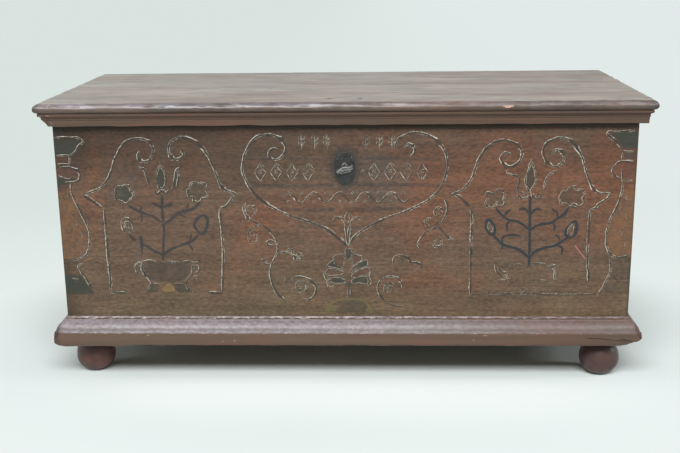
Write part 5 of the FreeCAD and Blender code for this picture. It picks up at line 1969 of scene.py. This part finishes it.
class CHEST_OT_stage(bpy.types.Operator):
    """Pale floor, soft light and camera"""

    bl_idname = "chest.stage"
    bl_label = "Stage"

    def execute(self, context):
        stage = context.scene.chest_stage
        across = np.linspace(-FLOOR_HALF, FLOOR_HALF, 7)
        grid = np.stack(np.broadcast_arrays(across[None, :], across[:, None], 0.0), -1).astype(float)
        mesh = bpy.data.meshes.new("floor")
        mesh.from_pydata(grid.reshape(-1, 3).tolist(), [], grid_faces(7, 7, False).tolist())
        mesh.materials.append(floor_material())
        floor = self.place(context, "floor", mesh)
        self.world(context, stage)
        front_turn = (math.radians(43.6), 0, math.radians(-2))
        self.lamp(context, "front_box", (-0.15, -4.2, 4.6), front_turn, (5.6, 1.9), stage.front_box)
        right_turn = (0, SIDE_LAMP_TURN, 0)
        self.lamp(context, "right_box", (2.9, -0.5, 1.15), right_turn, (0.5, 0.25), stage.side_box)
        left_turn = (0, -SIDE_LAMP_TURN, 0)
        self.lamp(context, "left_box", (-2.9, -0.5, 1.15), left_turn, (0.9, 0.6), 0.55 * stage.side_box)
        self.camera(context, stage)
        context.scene.view_settings.view_transform = "Standard"
        return {"FINISHED"}

    def place(self, context, name, data):
        made = bpy.data.objects.new(name, data)
        context.scene.collection.objects.link(made)
        return made

    def world(self, context, stage):
        made = bpy.data.worlds.new("studio")
        context.scene.world = made
        made.use_nodes = True
        made.node_tree.nodes.clear()
        wires = Wiring(made.node_tree)
        seen = seen_ray(wires)
        inputs = {"Color": wires.mix(seen, SKY_WHITE, stage.backdrop), "Strength": seen.swing(stage.sky, 1.0)}
        wires.node("ShaderNodeOutputWorld", {0: wires.value("ShaderNodeBackground", inputs)})

    def lamp(self, context, name, where, turn, size, power):
        light = bpy.data.lights.new(name, "AREA")
        light.shape = "RECTANGLE"
        light.size, light.size_y = size
        light.energy = power
        made = self.place(context, name, light)
        made.location = where
        made.rotation_euler = turn

    def camera(self, context, stage):
        yaw, pitch, roll = np.radians(CAMERA_TURNS)
        ahead = np.array([-np.sin(yaw) * np.cos(pitch), np.cos(yaw) * np.cos(pitch), -np.sin(pitch)])
        level = np.array([np.cos(yaw), np.sin(yaw), 0.0])
        upright = np.cross(level, ahead)
        right = np.cos(roll) * level - np.sin(roll) * upright
        up = np.sin(roll) * level + np.cos(roll) * upright
        data = bpy.data.cameras.new("camera")
        data.sensor_width = 36.0
        data.lens = stage.lens
        made = self.place(context, "camera", data)
        turn = Matrix(np.stack([right, up, -ahead], -1).tolist()).to_4x4()
        made.matrix_world = Matrix.Translation(CAMERA_PLACE) @ turn
        context.scene.camera = made


class CHEST_PT_panel(bpy.types.Panel):
    """Lists the chest's pieces in the sidebar"""

    bl_idname = "CHEST_PT_panel"
    bl_label = "Chest"
    bl_space_type = "VIEW_3D"
    bl_region_type = "UI"
    bl_category = "Chest"

    def draw(self, context):
        for operator in STEPS:
            self.layout.operator(operator.bl_idname)
        for holder in HOLDERS:
            box = self.layout.box()
            values = getattr(context.scene, holder)
            for key in values.bl_rna.properties.keys():
                if key not in ("rna_type", "name"):
                    box.prop(values, key)


STEPS = (
    CHEST_OT_materials,
    CHEST_OT_mouldings,
    CHEST_OT_lid,
    CHEST_OT_feet,
    CHEST_OT_keyhole_iron,
    CHEST_OT_balusters,
    CHEST_OT_arches,
    CHEST_OT_heart_rows,
    CHEST_OT_left_plant,
    CHEST_OT_right_plant,
    CHEST_OT_centre,
    CHEST_OT_stage,
)
HOLDERS = {
    "chest_paint": ChestPaint,
    "chest_ornament": ChestOrnament,
    "chest_wear": ChestWear,
    "chest_stage": ChestStage,
}


def register():
    for kind in (*HOLDERS.values(), *STEPS, CHEST_PT_panel):
        bpy.utils.register_class(kind)
    for name, kind in HOLDERS.items():
        setattr(bpy.types.Scene, name, PointerProperty(type=kind))


def unregister():
    for name in HOLDERS:
        delattr(bpy.types.Scene, name)
    for kind in (CHEST_PT_panel, *reversed(STEPS), *reversed(tuple(HOLDERS.values()))):
        bpy.utils.unregister_class(kind)


def main():
    register()
    for step in STEPS:
        area, name = step.bl_idname.split(".")
        getattr(getattr(bpy.ops, area), name)()


if __name__ == "__main__":
    main()
